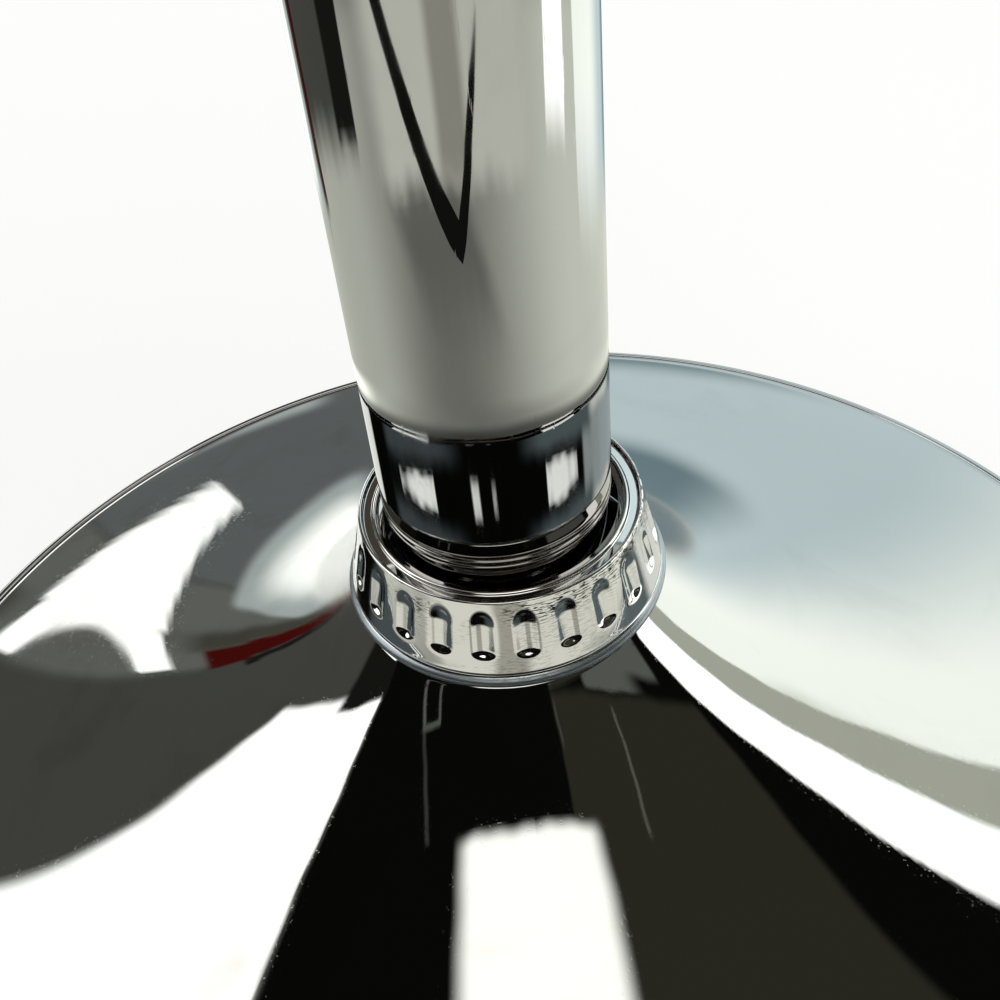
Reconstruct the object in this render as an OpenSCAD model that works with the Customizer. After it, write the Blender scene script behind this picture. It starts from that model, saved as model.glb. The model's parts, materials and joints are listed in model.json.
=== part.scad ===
// Gas-lift bar stool on a spun dish base, at its lowest seat height.
// Millimetres. The axis of the column is Z and the floor is z = 0.

/* [Base] */
// Diameter of the dish over its rolled rim
base_d = 385; // [370:5:420]
// Height of the flat neck that the trim collar rests on
neck_h = 88.2; // [80:0.1:96]
// Sheet thickness of the spun dish
dish_t = 1.5; // [1:0.1:2]
// How far in from the foot of the trim collar the flat of the neck ends
neck_in = 4.5; // [4.2:0.1:5]
// Radius of the rounded shoulder that the foot of the trim collar hides
shoulder_r = 4; // [3:0.5:6]
// Slope of the dish straight below the shoulder, in degrees
bell_slope = 57; // [52:1:64]
// Length of the steep stretch below the shoulder
bell_drop = 36; // [28:1:42]
// Radius at which the bell has turned into the skirt
bell_r = 90; // [84:1:100]
// Height of the dish where the bell turns into the skirt
bell_h = 31; // [27:1:38]
// Distance in from the rim at which the skirt starts to fall
skirt_in = 52; // [40:2:64]
// Height of the skirt there
skirt_h = 24; // [21:1:27]
// Section radius of the rolled rim
rim_r = 1.8; // [1.5:0.1:2.2]
// Height of the middle of the rolled rim above the floor
rim_h = 5; // [4.5:0.1:6]
// Angle round the rolled rim at which the sheet runs into it, in degrees
rim_roll = 160; // [150:5:165]
// Width of the rubber floor ring
floor_ring_w = 6.5; // [5.5:0.5:8]

/* [Ballast] */
// Diameter of the ballast plate under the dish
ballast_d = 270; // [240:5:280]
// Thickness of the ballast plate
ballast_t = 5; // [4:0.5:5.5]
// Height of the underside of the ballast plate above the floor
ballast_h = 4.5; // [3:0.5:5]
// Diameter of the hole in the middle of the ballast plate
ballast_hole_d = 56; // [50:2:60]
// Sheet thickness of the gussets and their feet
gusset_t = 3; // [2:0.5:4]
// Radius that the gussets reach
gusset_reach = 118; // [105:1:122]
// Length of the foot at the end of each gusset
foot_l = 34; // [28:2:40]
// Width of the foot
foot_w = 22; // [18:2:28]
// Diameter of the screws that hold the ballast plate
foot_screw_d = 6; // [5:0.5:6]

/* [Column] */
// Outer diameter of the column
col_d = 50; // [49.6:0.1:50.4]
// Wall of the column
col_wall = 1.5; // [1.2:0.1:2]
// Height of the foot of the column above the floor
col_foot = 28; // [26:1:32]
// Thickness of the plate that closes the foot of the column
col_plate_t = 3; // [2:0.5:4]
// How much the column is swaged in, on the radius, at the mouth of the socket
swage = 2.1; // [1.8:0.1:2.4]
// Change of radius per millimetre along the swaged end
taper = 0.025; // [0.02:0.001:0.03]
// Height of the socket's mouth above the top of the trim collar
socket_rise = 9; // [7:0.5:12]
// Height of the mouth ring on the socket
mouth_h = 6.7; // [5.5:0.1:8]
// Wall of the socket below its mouth ring
socket_wall = 1.1; // [0.9:0.1:1.3]
// How far the socket reaches down below the dish
socket_tail = 26; // [20:1:32]
// Height of the black cap above the top of the column
cap_h = 6; // [4:0.5:8]
// Length of the cap's skirt inside the column
cap_skirt = 14; // [10:1:20]
// Length of the guide bush
bush_h = 68; // [55:1:90]

/* [Trim collar] */
// Height of the trim collar
collar_h = 21.8; // [20.5:0.1:26]
// Radius of the collar at its top edge
collar_top_r = 31.3; // [31:0.1:32.5]
// Radius of the collar over the bead at its foot
collar_foot_r = 36.4; // [35.5:0.1:38]
// Radius of the lip round the column
collar_lip_r = 25.8; // [25.8:0.05:26.2]
// Wall of the collar
collar_wall = 2; // [1.8:0.1:2.2]
// Section radius of the bead at the collar's foot
foot_bead_r = 1.3; // [1.1:0.05:1.6]
// How far the loose collar stands off the column's axis
collar_shift = 0.45; // [0:0.05:0.45]
// Number of flutes round the collar
flute_n = 23; // [16:1:24]
// Width of a flute
flute_w = 4.7; // [4:0.1:5.2]
// Length of a flute
flute_l = 11.2; // [9:0.1:12]
// Depth of a flute
flute_deep = 0.8; // [0.6:0.05:1]
// Distance from the top of the collar to the top of a flute
flute_drop = 2.7; // [2.4:0.1:3.6]

/* [Footrest] */
// Height of the middle of the footrest above the floor
rest_h = 302; // [296:2:330]
// Diameter of the footrest tube
rest_tube_d = 22; // [19:1:25]
// Wall of the footrest tube
rest_wall = 1.5; // [1.2:0.1:2]
// Radius of the loop on the middle of its tube
loop_r = 125; // [112:1:135]
// Radius of the bends next to the column
bend_r = 40; // [32:1:48]
// Height of the cast clamp ring
clamp_h = 34; // [32:1:44]
// Wall of the clamp ring
clamp_wall = 7; // [6:0.5:9]
// How far each socket of the clamp reaches from the axis
clamp_reach = 47; // [44:1:54]

/* [Gas lift] */
// Stroke of the gas lift
stroke = 210; // [180:5:220]
// Outer diameter of the pressure cylinder
cyl_d = 28; // [27:0.5:29]
// Wall of the pressure cylinder
cyl_wall = 2; // [1.5:0.1:2.2]
// Diameter of the piston rod
rod_d = 10; // [9:0.5:11]
// Diameter of the thrust balls
ball_d = 4; // [3:0.5:5]
// Number of thrust balls
ball_n = 10; // [8:1:11]
// Thickness of each thrust washer
washer_t = 1.5; // [1:0.1:2]
// Length of the rubber bumper on the rod
bumper_h = 11.7; // [9:0.1:15]
// Length of the gland that closes the cylinder round the rod
gland_h = 15.7; // [12:0.1:20]
// Length of the piston
piston_h = 15; // [12:1:20]
// Diameter of the release pin
pin_d = 6; // [5:0.5:7]
// How far the release pin stands out of the cylinder
pin_out = 6; // [5:0.5:8]

/* [Seat] */
// Height of the seat's crown above the floor, at its lowest
seat_h = 600; // [585:5:630]
// Diameter of the seat at its widest
seat_d = 376; // [366:2:380]
// Thickness of the upholstered cushion above the board
cushion_h = 65.2; // [55:0.1:80]
// Height of the welt above the board
welt_h = 51; // [44:1:54]
// Section radius of the welt
welt_r = 2.4; // [2:0.1:3]
// How far the side of the cushion is drawn in at the welt
side_draw = 6; // [4:0.5:9]
// Thickness of the plywood board
board_t = 12; // [10:0.5:15]
// Height of the curved edge of the pan
pan_edge_h = 18; // [16:0.5:20]
// Wall of the moulded pan
pan_t = 2.5; // [2:0.1:3]
// Radius of the opening in the pan
pan_hole_r = 129; // [128:1:134]
// Number of screws that hold the pan
pan_screw_n = 6; // [4:1:8]
// Sheet thickness of the seat plate
plate_t = 2.5; // [2:0.5:3]
// Spacing of the four seat bolts
bolt_pitch = 152; // [140:1:156]
// Distance from a seat bolt's middle to the edge of the square seat plate
plate_edge = 14; // [12:1:16]
// Diameter of the seat bolts
bolt_d = 8; // [6:0.5:8]
// Width of the pressed box in the middle of the seat plate
box_w = 95; // [90:1:102]
// Length of the tapered hub
hub_h = 30.5; // [26:0.5:36]
// Wall of the tapered hub at its thick end
hub_wall = 3.5; // [3:0.1:5]

/* [Lever] */
// Diameter of the lever rod
lever_d = 8; // [7:0.5:9]
// Distance of the lever's pivot from the column's axis
pivot_x = 36; // [34:0.5:37]
// Diameter of the pivot pin
pivot_d = 4; // [3:0.5:4.5]
// Lift of the lever before it meets its stop, in degrees
lever_lift = 4.5; // [3:0.5:5]
// Distance of the lever's first knee from its pivot
lever_out_run = 22; // [18:1:25]
// Drop of the lever between its two knees
lever_dip = 13; // [11:0.5:15]
// Slope of the lever past its knees, in degrees
lever_slope = 5.5; // [4:0.5:7]
// Distance of the rod's end from the column's axis
lever_reach = 164; // [150:2:168]
// Length of the grip
grip_l = 58; // [50:1:62]
// Diameter of the grip
grip_d = 16; // [14:0.5:17]

/* [Hidden] */

$fn = 96;
chrome = [0.80, 0.82, 0.84];
steel = [0.62, 0.63, 0.65];
iron = [0.25, 0.26, 0.28];
black = [0.10, 0.10, 0.11];
nylon = [0.90, 0.90, 0.86];
ply = [0.80, 0.66, 0.46];
red_hide = [0.45, 0.06, 0.07];

// Clearances: a seat that only has to go in, a sliding fit, a gap between soft or
// curved neighbours, and a weld gap against the dish
seat_gap = 0.05;
slide_gap = 0.08;
rest_gap = 0.3;
weld_gap = 0.2;
eps = 0.01;

// Heights up through the base
collar_z = neck_h;
collar_top = neck_h + collar_h;
mouth_z = collar_top + socket_rise;
socket_low = neck_h - dish_t - socket_tail;
feet_z = ballast_h + ballast_t;

// Radii of the column and its socket
col_r = col_d / 2;
col_bore_r = col_r - col_wall;
mouth_r = col_r - swage;
function swaged_r(z) = mouth_r - (mouth_z - z) * taper;
socket_r = mouth_r + socket_wall;
flange_margin = 0.9;
neck_r = collar_foot_r - neck_in;
socket_flange_r = neck_r - flange_margin;
socket_flange_t = 3;
flange_top = neck_h - dish_t;
// Beads and grooves of the mouth ring: change of radius, and height above its foot
mouth_steps = [
  [-0.35, 0], [-0.1, 0.4], [-0.1, 1.2], [-0.35, 1.4], [-0.35, 1.9],
  [0, 2.1], [0, 2.9], [-0.35, 3.1], [-0.35, 3.6], [0, 3.8]];
mouth_chamfer_h = 2.1;
mouth_lip_w = 0.8;

// Gussets under the dish, each with a foot that a screw pulls the ballast plate to
gusset_n = 4;
foot_in = gusset_reach - foot_l;
foot_heel = 22;
foot_nose_h = 5;
foot_hole_x = gusset_reach - foot_l / 2;
foot_screw_r = foot_screw_d / 2;
nut_r = foot_screw_d * 0.97;
nut_h = foot_screw_d * 0.75;
screw_head_r = foot_screw_d * 0.9;
screw_head_h = foot_screw_d * 0.42;
screw_sink_r = screw_head_r + rest_gap;
screw_sink_h = screw_head_h + seat_gap;

// Lowest outline of the dish: flat neck, rounded shoulder, steep bell, flat skirt
rim_c = [base_d / 2 - rim_r, rim_h];
shoulder_c = [neck_r, neck_h - shoulder_r];
function shoulder(a, r) = shoulder_c + r * [sin(a), cos(a)];
function way(a) = [cos(a), sin(a)];
function reversed(v) = [for (i = [len(v) - 1:-1:0]) v[i]];
function mix(p, q, t) = p * (1 - t) + q * t;
function bezier(p, t) =
  len(p) == 1 ? p[0] : bezier([for (i = [0:len(p) - 2]) mix(p[i], p[i + 1], t)], t);
bell_top = shoulder(bell_slope, shoulder_r);
dish_pull = [
  bell_top,
  bell_top + bell_drop * [cos(bell_slope), -sin(bell_slope)],
  [bell_r, bell_h],
  [base_d / 2 - skirt_in, skirt_h],
  rim_c + [0, dish_t / 2]];
dish_steps = 24;
function dish_out(t) = bezier(dish_pull, t);
function dish_way(t) =
  bezier([for (i = [0:len(dish_pull) - 2]) dish_pull[i + 1] - dish_pull[i]], t);
// A point of the dish's outline moved in by d, square to its surface
function dish_in(t, d) =
  dish_out(t) + d / norm(dish_way(t)) * [dish_way(t)[1], -dish_way(t)[0]];
function dish_line(d) = concat(
  [for (a = [0:12:bell_slope - 6]) shoulder(a, shoulder_r - d)],
  [for (i = [0:dish_steps]) dish_in(i / dish_steps, d)]);

// Trim collar's outline, from its top edge to the bead at its foot
collar_low = [collar_foot_r - 1.1, 2 * foot_bead_r + 1.4];
collar_high = [collar_top_r, collar_h - 0.5];
collar_tilt = atan((collar_low[0] - collar_high[0]) / (collar_high[1] - collar_low[1]));
flute_r = (flute_w * flute_w / 4 + flute_deep * flute_deep) / (2 * flute_deep);
flute_mid_z = collar_h - flute_drop - flute_l / 2;
flute_mid_r = collar_high[0] + (collar_high[1] - flute_mid_z) * tan(collar_tilt);
// The recess round the column: an inner bead and the rim of the top edge, as distance
// out from the lip or in from the top edge, and drop below the top
recess_drop = 1.6;
inner_bead = [[0, 1.6], [1.2, 1.3], [1.5, 0.6], [1.9, 0.45], [2.3, 0.6], [2.6, 1.1]];
top_rim = [[1.1, 1.1], [0.9, 0.2], [0.5, 0], [0.1, 0.15]];
bead_c = [collar_foot_r - foot_bead_r, foot_bead_r + rest_gap];

// Heights up through the gas lift
bearing_z = col_foot + col_plate_t;
ball_gap = 0.1;
ball_z = bearing_z + washer_t + ball_gap + ball_d / 2;
upper_washer_z = ball_z + ball_d / 2 + ball_gap;
bumper_z = upper_washer_z + washer_t;
cyl_low = bumper_z + bumper_h + rest_gap;
top_out_gap = 9;
rod_tail = 4;
clip_t = 1.1;
clip_out = 3;
clip_slot_w = 2.8;
clip_groove = 0.8;
clip_z = col_foot - rest_gap - clip_t;
seal_h = 2.4;
seal_deep = 1.8;
piston_z = cyl_low + gland_h + stroke + top_out_gap;
rod_r = rod_d / 2;
spigot_r = rod_r - 1;
cyl_r = cyl_d / 2;
cyl_bore_r = cyl_r - cyl_wall;
race_margin = 2;
ball_ring_r = spigot_r + race_margin + 0.6 + ball_d / 2;
washer_r = ball_ring_r + ball_d / 2 + race_margin;

// Heights down through the seat, from its crown to the top of the column
board_top = seat_h - cushion_h - rest_gap;
board_z = board_top - board_t;
plate_z = board_z - plate_t;
lever_r = lever_d / 2;
knee_gap = 2;
lever_rise = lever_out_run * sin(lever_lift);
lever_z = plate_z - knee_gap - lever_rise - lever_r;
pin_top = lever_z - lever_r - rest_gap;
cyl_top = pin_top - pin_out;
hub_top_gap = 1.5;
hub_z = cyl_top - hub_top_gap - hub_h;
plate_floor_z = hub_z + hub_h - plate_t;
low_stop_gap = 9;
cap_top = hub_z - low_stop_gap;
col_top = cap_top - cap_h;
taper_lead = 8;
taper_z = hub_z - taper_lead;
function cone_r(z) = cyl_r - max(0, z - taper_z) * taper;
valve_h = 26;
valve_z = cyl_top - 6 - valve_h;
pin_room = 5;

// Radii of the seat
seat_r = seat_d / 2;
pan_r = seat_r - 5;
pan_arc_r = pan_r - pan_edge_h;
board_r = pan_arc_r - 0.5;
pan_screw_r = (pan_hole_r + board_r) / 2;
pan_screw_shank_r = 1.8;
pan_screw_l = 8;
welt_c = [seat_r - side_draw, board_top + welt_h];
plate_w = bolt_pitch + 2 * plate_edge;
t_nut_r = bolt_d / 2 + 1.2;
t_nut_flange_r = bolt_d * 1.25;
t_nut_flange_t = 1.5;

// Ears in the seat plate that the lever turns between
ear_t = 2.5;
ear_y = lever_r + 2.5;
ear_w = 12;
ear_out = 5.5;
slot_gap = 2;

// Corners of the lever in x and z: over the pin, two knees and the end inside the grip
lever_tail = 6;
lever_knee = [pivot_x + lever_out_run, lever_z];
lever_low_knee = lever_knee + [2 * lever_dip, -lever_dip];
lever_end = lever_low_knee + (lever_reach - lever_low_knee[0]) * [1, -tan(lever_slope)];
lever_corners = [[-lever_tail, lever_z], lever_knee, lever_low_knee, lever_end];

// Footrest
rest_tube_r = rest_tube_d / 2;
clamp_bore_x = col_r + clamp_wall + 1;
loop_y = bend_r;
clamp_screw_r = 3;

// Base

module base_dish() {
  // The sheet runs into the rolled rim at these angles, measured round the rim's middle
  roll_from = rim_roll - asin(dish_t / 2 / rim_r);
  roll_to = rim_roll + asin(dish_t / 2 / rim_r);
  color(chrome)
    rotate_extrude()
      polygon(concat(
        [[socket_r + seat_gap, neck_h]],
        [for (p = dish_line(0)) if (p[0] < rim_c[0] - rim_r - 1) p],
        [for (i = [0:16]) rim_c + rim_r * way(roll_from + i / 16 * (roll_to - roll_from - 360))],
        reversed([for (p = dish_line(dish_t)) if (p[0] < rim_c[0] - rim_r - 1) p]),
        [[socket_r + seat_gap, neck_h - dish_t]]));
}

module base_socket() {
  ring_r = mouth_r + 2;
  ring_low = mouth_z - mouth_h;
  color(chrome)
    rotate_extrude()
      polygon(concat([
          [swaged_r(socket_low) + seat_gap, socket_low],
          [socket_r, socket_low],
          [socket_r, flange_top - socket_flange_t],
          [socket_flange_r, flange_top - socket_flange_t],
          [socket_flange_r, flange_top],
          [socket_r, flange_top],
          [socket_r, ring_low]],
        [for (p = mouth_steps) [ring_r, ring_low] + p], [
          [ring_r, mouth_z - mouth_chamfer_h],
          [mouth_r + mouth_lip_w, mouth_z],
          [mouth_r + seat_gap, mouth_z]]));
}

module gusset() {
  low = feet_z + gusset_t;
  high = flange_top - socket_flange_t - weld_gap;
  rotate([90, 0, 0])
    linear_extrude(gusset_t, center = true)
      polygon(concat(
        [[socket_r + weld_gap, socket_low + 1], [socket_r + weld_gap, high]],
        [[socket_flange_r + 1, high]],
        [for (p = dish_line(dish_t + weld_gap)) if (p[0] > neck_r && p[0] < foot_in - 1) p],
        [[foot_in, low + foot_nose_h], [foot_in, low - eps], [foot_in - foot_heel + 2, low - eps]]));
}

module gusset_foot() {
  difference() {
    union() {
      translate([foot_in - foot_heel, -foot_w / 2, feet_z]) cube([foot_l + foot_heel, foot_w, gusset_t]);
      translate([foot_hole_x, 0, feet_z + gusset_t - eps]) cylinder(r = nut_r, h = nut_h, $fn = 6);
    }
    translate([foot_hole_x, 0, feet_z - 1])
      cylinder(r = foot_screw_r + seat_gap, h = gusset_t + nut_h + 2);
  }
}

module at_feet() {
  for (i = [0:gusset_n - 1])
    rotate(45 + i * 360 / gusset_n) children();
}

module socket_gussets() {
  color(steel)
    at_feet() {
      gusset();
      gusset_foot();
    }
}

module ballast_plate() {
  color(iron)
    difference() {
      translate([0, 0, ballast_h]) cylinder(d = ballast_d, h = ballast_t, $fn = 128);
      translate([0, 0, ballast_h - 1]) cylinder(d = ballast_hole_d, h = ballast_t + 2);
      at_feet()
        translate([foot_hole_x, 0, ballast_h - 1]) {
          cylinder(r = foot_screw_r + weld_gap, h = ballast_t + 2);
          cylinder(r = screw_sink_r, h = screw_sink_h + 1);
        }
    }
}

module ballast_screws() {
  shank_l = ballast_t - screw_sink_h + gusset_t + nut_h;
  color(steel)
    at_feet()
      translate([foot_hole_x, 0, ballast_h + screw_sink_h - screw_head_h])
        difference() {
          union() {
            cylinder(r = screw_head_r, h = screw_head_h);
            cylinder(r = foot_screw_r, h = screw_head_h + shank_l);
          }
          translate([0, 0, -1]) cylinder(r = foot_screw_d / 3, h = screw_head_h * 0.6 + 1, $fn = 6);
        }
}

module floor_ring() {
  out_r = rim_c[0] + 0.6;
  color(black)
    rotate_extrude()
      difference() {
        translate([out_r - floor_ring_w, 0]) square([floor_ring_w, rim_h - 0.4]);
        translate(rim_c) circle(r = rim_r + rest_gap);
      }
}

module column_tube() {
  // The swaged end turns in with a quarter round just above the socket's mouth
  turn_z = mouth_z + swage + seat_gap;
  foot_r = swaged_r(col_foot);
  color(chrome)
    rotate_extrude()
      polygon(concat(
        [[spigot_r + 0.1, col_foot], [foot_r, col_foot], [mouth_r, mouth_z + seat_gap]],
        [for (a = [15:15:90]) [mouth_r + swage * sin(a), turn_z - swage * cos(a)]],
        [[col_r, col_top], [col_bore_r, col_top], [col_bore_r, turn_z + 1]],
        [[mouth_r - col_wall, mouth_z], [foot_r - col_wall, col_foot + col_plate_t]],
        [[spigot_r + 0.1, col_foot + col_plate_t]]));
}

module column_cap() {
  color(black)
    rotate_extrude()
      polygon([
        [cyl_r + 0.6, col_top - cap_skirt],
        [col_bore_r - seat_gap, col_top - cap_skirt],
        [col_bore_r - seat_gap, col_top],
        [col_r + 0.6, col_top],
        [col_r + 0.6, cap_top - 2],
        [col_r - 1.4, cap_top],
        [cyl_r + 1.2, cap_top],
        [cyl_r + 0.6, cap_top - 0.8]]);
}

module guide_bush() {
  top = col_top - cap_skirt;
  low = top - bush_h;
  land = 14;
  color(nylon)
    rotate_extrude()
      polygon([
        [cyl_r + slide_gap, low],
        [col_bore_r - seat_gap, low],
        [col_bore_r - seat_gap, low + land],
        [col_bore_r - 3, low + land + 3],
        [col_bore_r - 3, top - land - 3],
        [col_bore_r - seat_gap, top - land],
        [col_bore_r - seat_gap, top],
        [cyl_r + slide_gap, top]]);
}

// Footrest

module footrest_clamp() {
  clamp_r = col_r + clamp_wall;
  socket_out_r = rest_tube_r + 3.5;
  color(chrome)
    difference() {
      union() {
        translate([0, 0, rest_h - clamp_h / 2]) cylinder(r = clamp_r, h = clamp_h);
        translate([-clamp_reach, 0, rest_h])
          rotate([0, 90, 0]) cylinder(r = socket_out_r, h = 2 * clamp_reach);
      }
      translate([0, 0, rest_h - clamp_h]) cylinder(r = col_r + seat_gap, h = 2 * clamp_h);
      for (s = [0, 180])
        rotate(s)
          translate([clamp_bore_x, 0, rest_h])
            rotate([0, 90, 0]) cylinder(r = rest_tube_r + seat_gap, h = clamp_reach);
      for (dz = [-clamp_h / 4, clamp_h / 4])
        translate([0, col_r - 2, rest_h + dz])
          rotate([-90, 0, 0]) cylinder(r = clamp_screw_r + seat_gap, h = clamp_wall + 4);
    }
}

// The loop's tube, or its bore when r is the bore's radius
module loop_bar(r) {
  straight = loop_r - bend_r - clamp_bore_x;
  translate([0, loop_y, rest_h]) {
    rotate_extrude(angle = 180) translate([loop_r, 0]) circle(r = r);
    for (s = [0, 1])
      mirror([s, 0, 0]) {
        translate([loop_r - bend_r, 0, 0])
          rotate(-90) rotate_extrude(angle = 90) translate([bend_r, 0]) circle(r = r);
        translate([clamp_bore_x, -bend_r, 0]) rotate([0, 90, 0]) cylinder(r = r, h = straight);
      }
  }
}

module footrest_loop() {
  color(chrome)
    difference() {
      loop_bar(rest_tube_r);
      loop_bar(rest_tube_r - rest_wall);
    }
}

module footrest_screws() {
  color(steel)
    for (dz = [-clamp_h / 4, clamp_h / 4])
      translate([0, col_r + 0.1, rest_h + dz])
        rotate([-90, 0, 0])
          difference() {
            cylinder(r = clamp_screw_r, h = clamp_wall - 1);
            translate([0, 0, clamp_wall / 2]) cylinder(r = clamp_screw_r * 0.57, h = clamp_wall, $fn = 6);
          }
}

// Trim collar, loose on the column and resting on the neck

module flute_cutter() {
  half = (flute_l - flute_w) / 2;
  cylinder(r = flute_r, h = 2 * half, center = true, $fn = 64);
  for (s = [-1, 1]) translate([0, 0, s * half]) sphere(r = flute_r, $fn = 64);
}

module trim_collar() {
  w = collar_wall;
  color(chrome)
    translate([collar_shift, 0, collar_z])
      difference() {
        rotate_extrude()
          polygon(concat(
            [for (p = inner_bead) [collar_lip_r + p[0], collar_h - p[1]]],
            [for (p = top_rim) [collar_top_r - p[0], collar_h - p[1]]],
            [collar_high, collar_low, collar_low - [0.5, 0.3]],
            [for (a = [75:-20:-90]) bead_c + foot_bead_r * way(a)], [
              [collar_low[0] - w - 0.6, bead_c[1] - foot_bead_r],
              [collar_low[0] - w - 0.2, collar_low[1]],
              [collar_high[0] - w, collar_h - recess_drop - w],
              [collar_lip_r, collar_h - recess_drop - w]]));
        for (i = [0:flute_n - 1])
          rotate((i + 0.5) * 360 / flute_n)
            translate([flute_mid_r, 0, flute_mid_z])
              rotate([0, -collar_tilt, 0])
                translate([flute_r - flute_deep, 0, 0]) flute_cutter();
      }
}

// Thrust bearing and gas lift

module thrust_washer_lower() {
  color(steel)
    translate([0, 0, bearing_z])
      difference() {
        cylinder(r = washer_r, h = washer_t);
        translate([0, 0, -1]) cylinder(r = spigot_r + 0.5, h = washer_t + 2);
      }
}

module thrust_washer_upper() {
  color(steel)
    translate([0, 0, upper_washer_z])
      difference() {
        cylinder(r = washer_r, h = washer_t);
        translate([0, 0, -1]) cylinder(r = spigot_r + seat_gap, h = washer_t + 2);
      }
}

module ball_cage() {
  cage_t = ball_d / 2;
  color(nylon)
    translate([0, 0, ball_z - cage_t / 2])
      difference() {
        cylinder(r = washer_r - 0.3, h = cage_t);
        translate([0, 0, -1]) cylinder(r = spigot_r + 0.6, h = cage_t + 2);
        for (i = [0:ball_n - 1])
          rotate(i * 360 / ball_n)
            translate([ball_ring_r, 0, -1]) cylinder(r = ball_d / 2 + 0.1, h = cage_t + 2, $fn = 32);
      }
}

module thrust_balls() {
  color(steel)
    for (i = [0:ball_n - 1])
      rotate(i * 360 / ball_n) translate([ball_ring_r, 0, ball_z]) sphere(d = ball_d, $fn = 32);
}

module rod_bumper() {
  color(black)
    rotate_extrude()
      polygon([
        [rod_r + seat_gap, bumper_z],
        [washer_r - 1, bumper_z],
        [washer_r - 1, bumper_z + bumper_h - 2],
        [washer_r - 3, bumper_z + bumper_h],
        [rod_r + seat_gap, bumper_z + bumper_h]]);
}

module piston_rod() {
  color(steel)
    rotate_extrude()
      polygon([
        [0, col_foot - rod_tail],
        [spigot_r, col_foot - rod_tail],
        [spigot_r, clip_z - seat_gap],
        [spigot_r - clip_groove, clip_z - seat_gap],
        [spigot_r - clip_groove, clip_z + clip_t + seat_gap],
        [spigot_r, clip_z + clip_t + seat_gap],
        [spigot_r, bumper_z],
        [rod_r, bumper_z],
        [rod_r, piston_z],
        [spigot_r, piston_z],
        [spigot_r, piston_z + piston_h],
        [spigot_r + 1.2, piston_z + piston_h],
        [spigot_r + 0.6, piston_z + piston_h + 1.6],
        [0, piston_z + piston_h + 1.6]]);
}

module rod_clip() {
  color(steel)
    translate([0, 0, clip_z])
      difference() {
        cylinder(r = spigot_r + clip_out, h = clip_t);
        translate([0, 0, -1]) cylinder(r = spigot_r - clip_groove + seat_gap, h = clip_t + 2);
        translate([0, -clip_slot_w / 2, -1]) cube([spigot_r + clip_out + 1, clip_slot_w, clip_t + 2]);
      }
}

module piston() {
  mid = piston_z + piston_h / 2;
  out_r = cyl_bore_r - slide_gap;
  color(steel)
    rotate_extrude()
      polygon([
        [spigot_r + seat_gap, piston_z],
        [out_r, piston_z],
        [out_r, mid - seal_h / 2],
        [out_r - seal_deep, mid - seal_h / 2],
        [out_r - seal_deep, mid + seal_h / 2],
        [out_r, mid + seal_h / 2],
        [out_r, piston_z + piston_h],
        [spigot_r + seat_gap, piston_z + piston_h]]);
}

module piston_seal() {
  out_r = cyl_bore_r - slide_gap;
  color(black)
    translate([0, 0, piston_z + (piston_h - seal_h) / 2 + seat_gap])
      difference() {
        cylinder(r = out_r + slide_gap / 2, h = seal_h - 2 * seat_gap);
        translate([0, 0, -1]) cylinder(r = out_r - seal_deep + seat_gap, h = seal_h + 2);
      }
}

module gas_cylinder() {
  color(black)
    rotate_extrude()
      polygon([
        [cyl_bore_r, cyl_low],
        [cyl_r, cyl_low],
        [cyl_r, taper_z],
        [cone_r(cyl_top), cyl_top],
        [pin_d / 2 + 2, cyl_top],
        [pin_d / 2 + 2, cyl_top - 3],
        [cyl_bore_r - 1, cyl_top - 3],
        [cyl_bore_r - 1, valve_z - 4],
        [cyl_bore_r, valve_z - 6]]);
}

module rod_gland() {
  color(nylon)
    translate([0, 0, cyl_low])
      difference() {
        cylinder(r = cyl_bore_r - seat_gap, h = gland_h);
        translate([0, 0, -1]) cylinder(r = rod_r + slide_gap, h = gland_h + 2);
      }
}

module valve_body() {
  color(steel)
    translate([0, 0, valve_z])
      difference() {
        cylinder(r = cyl_bore_r - 1 - seat_gap, h = valve_h + 3 - seat_gap);
        translate([0, 0, pin_room]) cylinder(r = pin_d / 2 + slide_gap, h = valve_h);
        translate([0, 0, -1]) cylinder(r = 1.5, h = valve_h);
      }
}

module release_pin() {
  // Room is left below the pin for its whole travel
  pin_low = valve_z + 2 * pin_room;
  color(steel)
    rotate_extrude($fn = 48)
      polygon([
        [0, pin_low],
        [pin_d / 2, pin_low],
        [pin_d / 2, pin_top - 0.6],
        [pin_d / 2 - 0.6, pin_top],
        [0, pin_top]]);
}

// Seat mechanism

module taper_hub() {
  out_r = cone_r(hub_z) + hub_wall;
  color(steel)
    rotate_extrude()
      polygon([
        [cone_r(hub_z) + seat_gap, hub_z],
        [out_r - 1, hub_z],
        [out_r, hub_z + 1],
        [out_r, hub_z + hub_h],
        [cone_r(hub_z + hub_h) + seat_gap, hub_z + hub_h]]);
}

module plate_outline(w, cut) {
  h = w / 2;
  k = h - cut;
  polygon([[h, -k], [h, k], [k, h], [-k, h], [-h, k], [-h, -k], [-k, -h], [k, -h]]);
}

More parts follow.
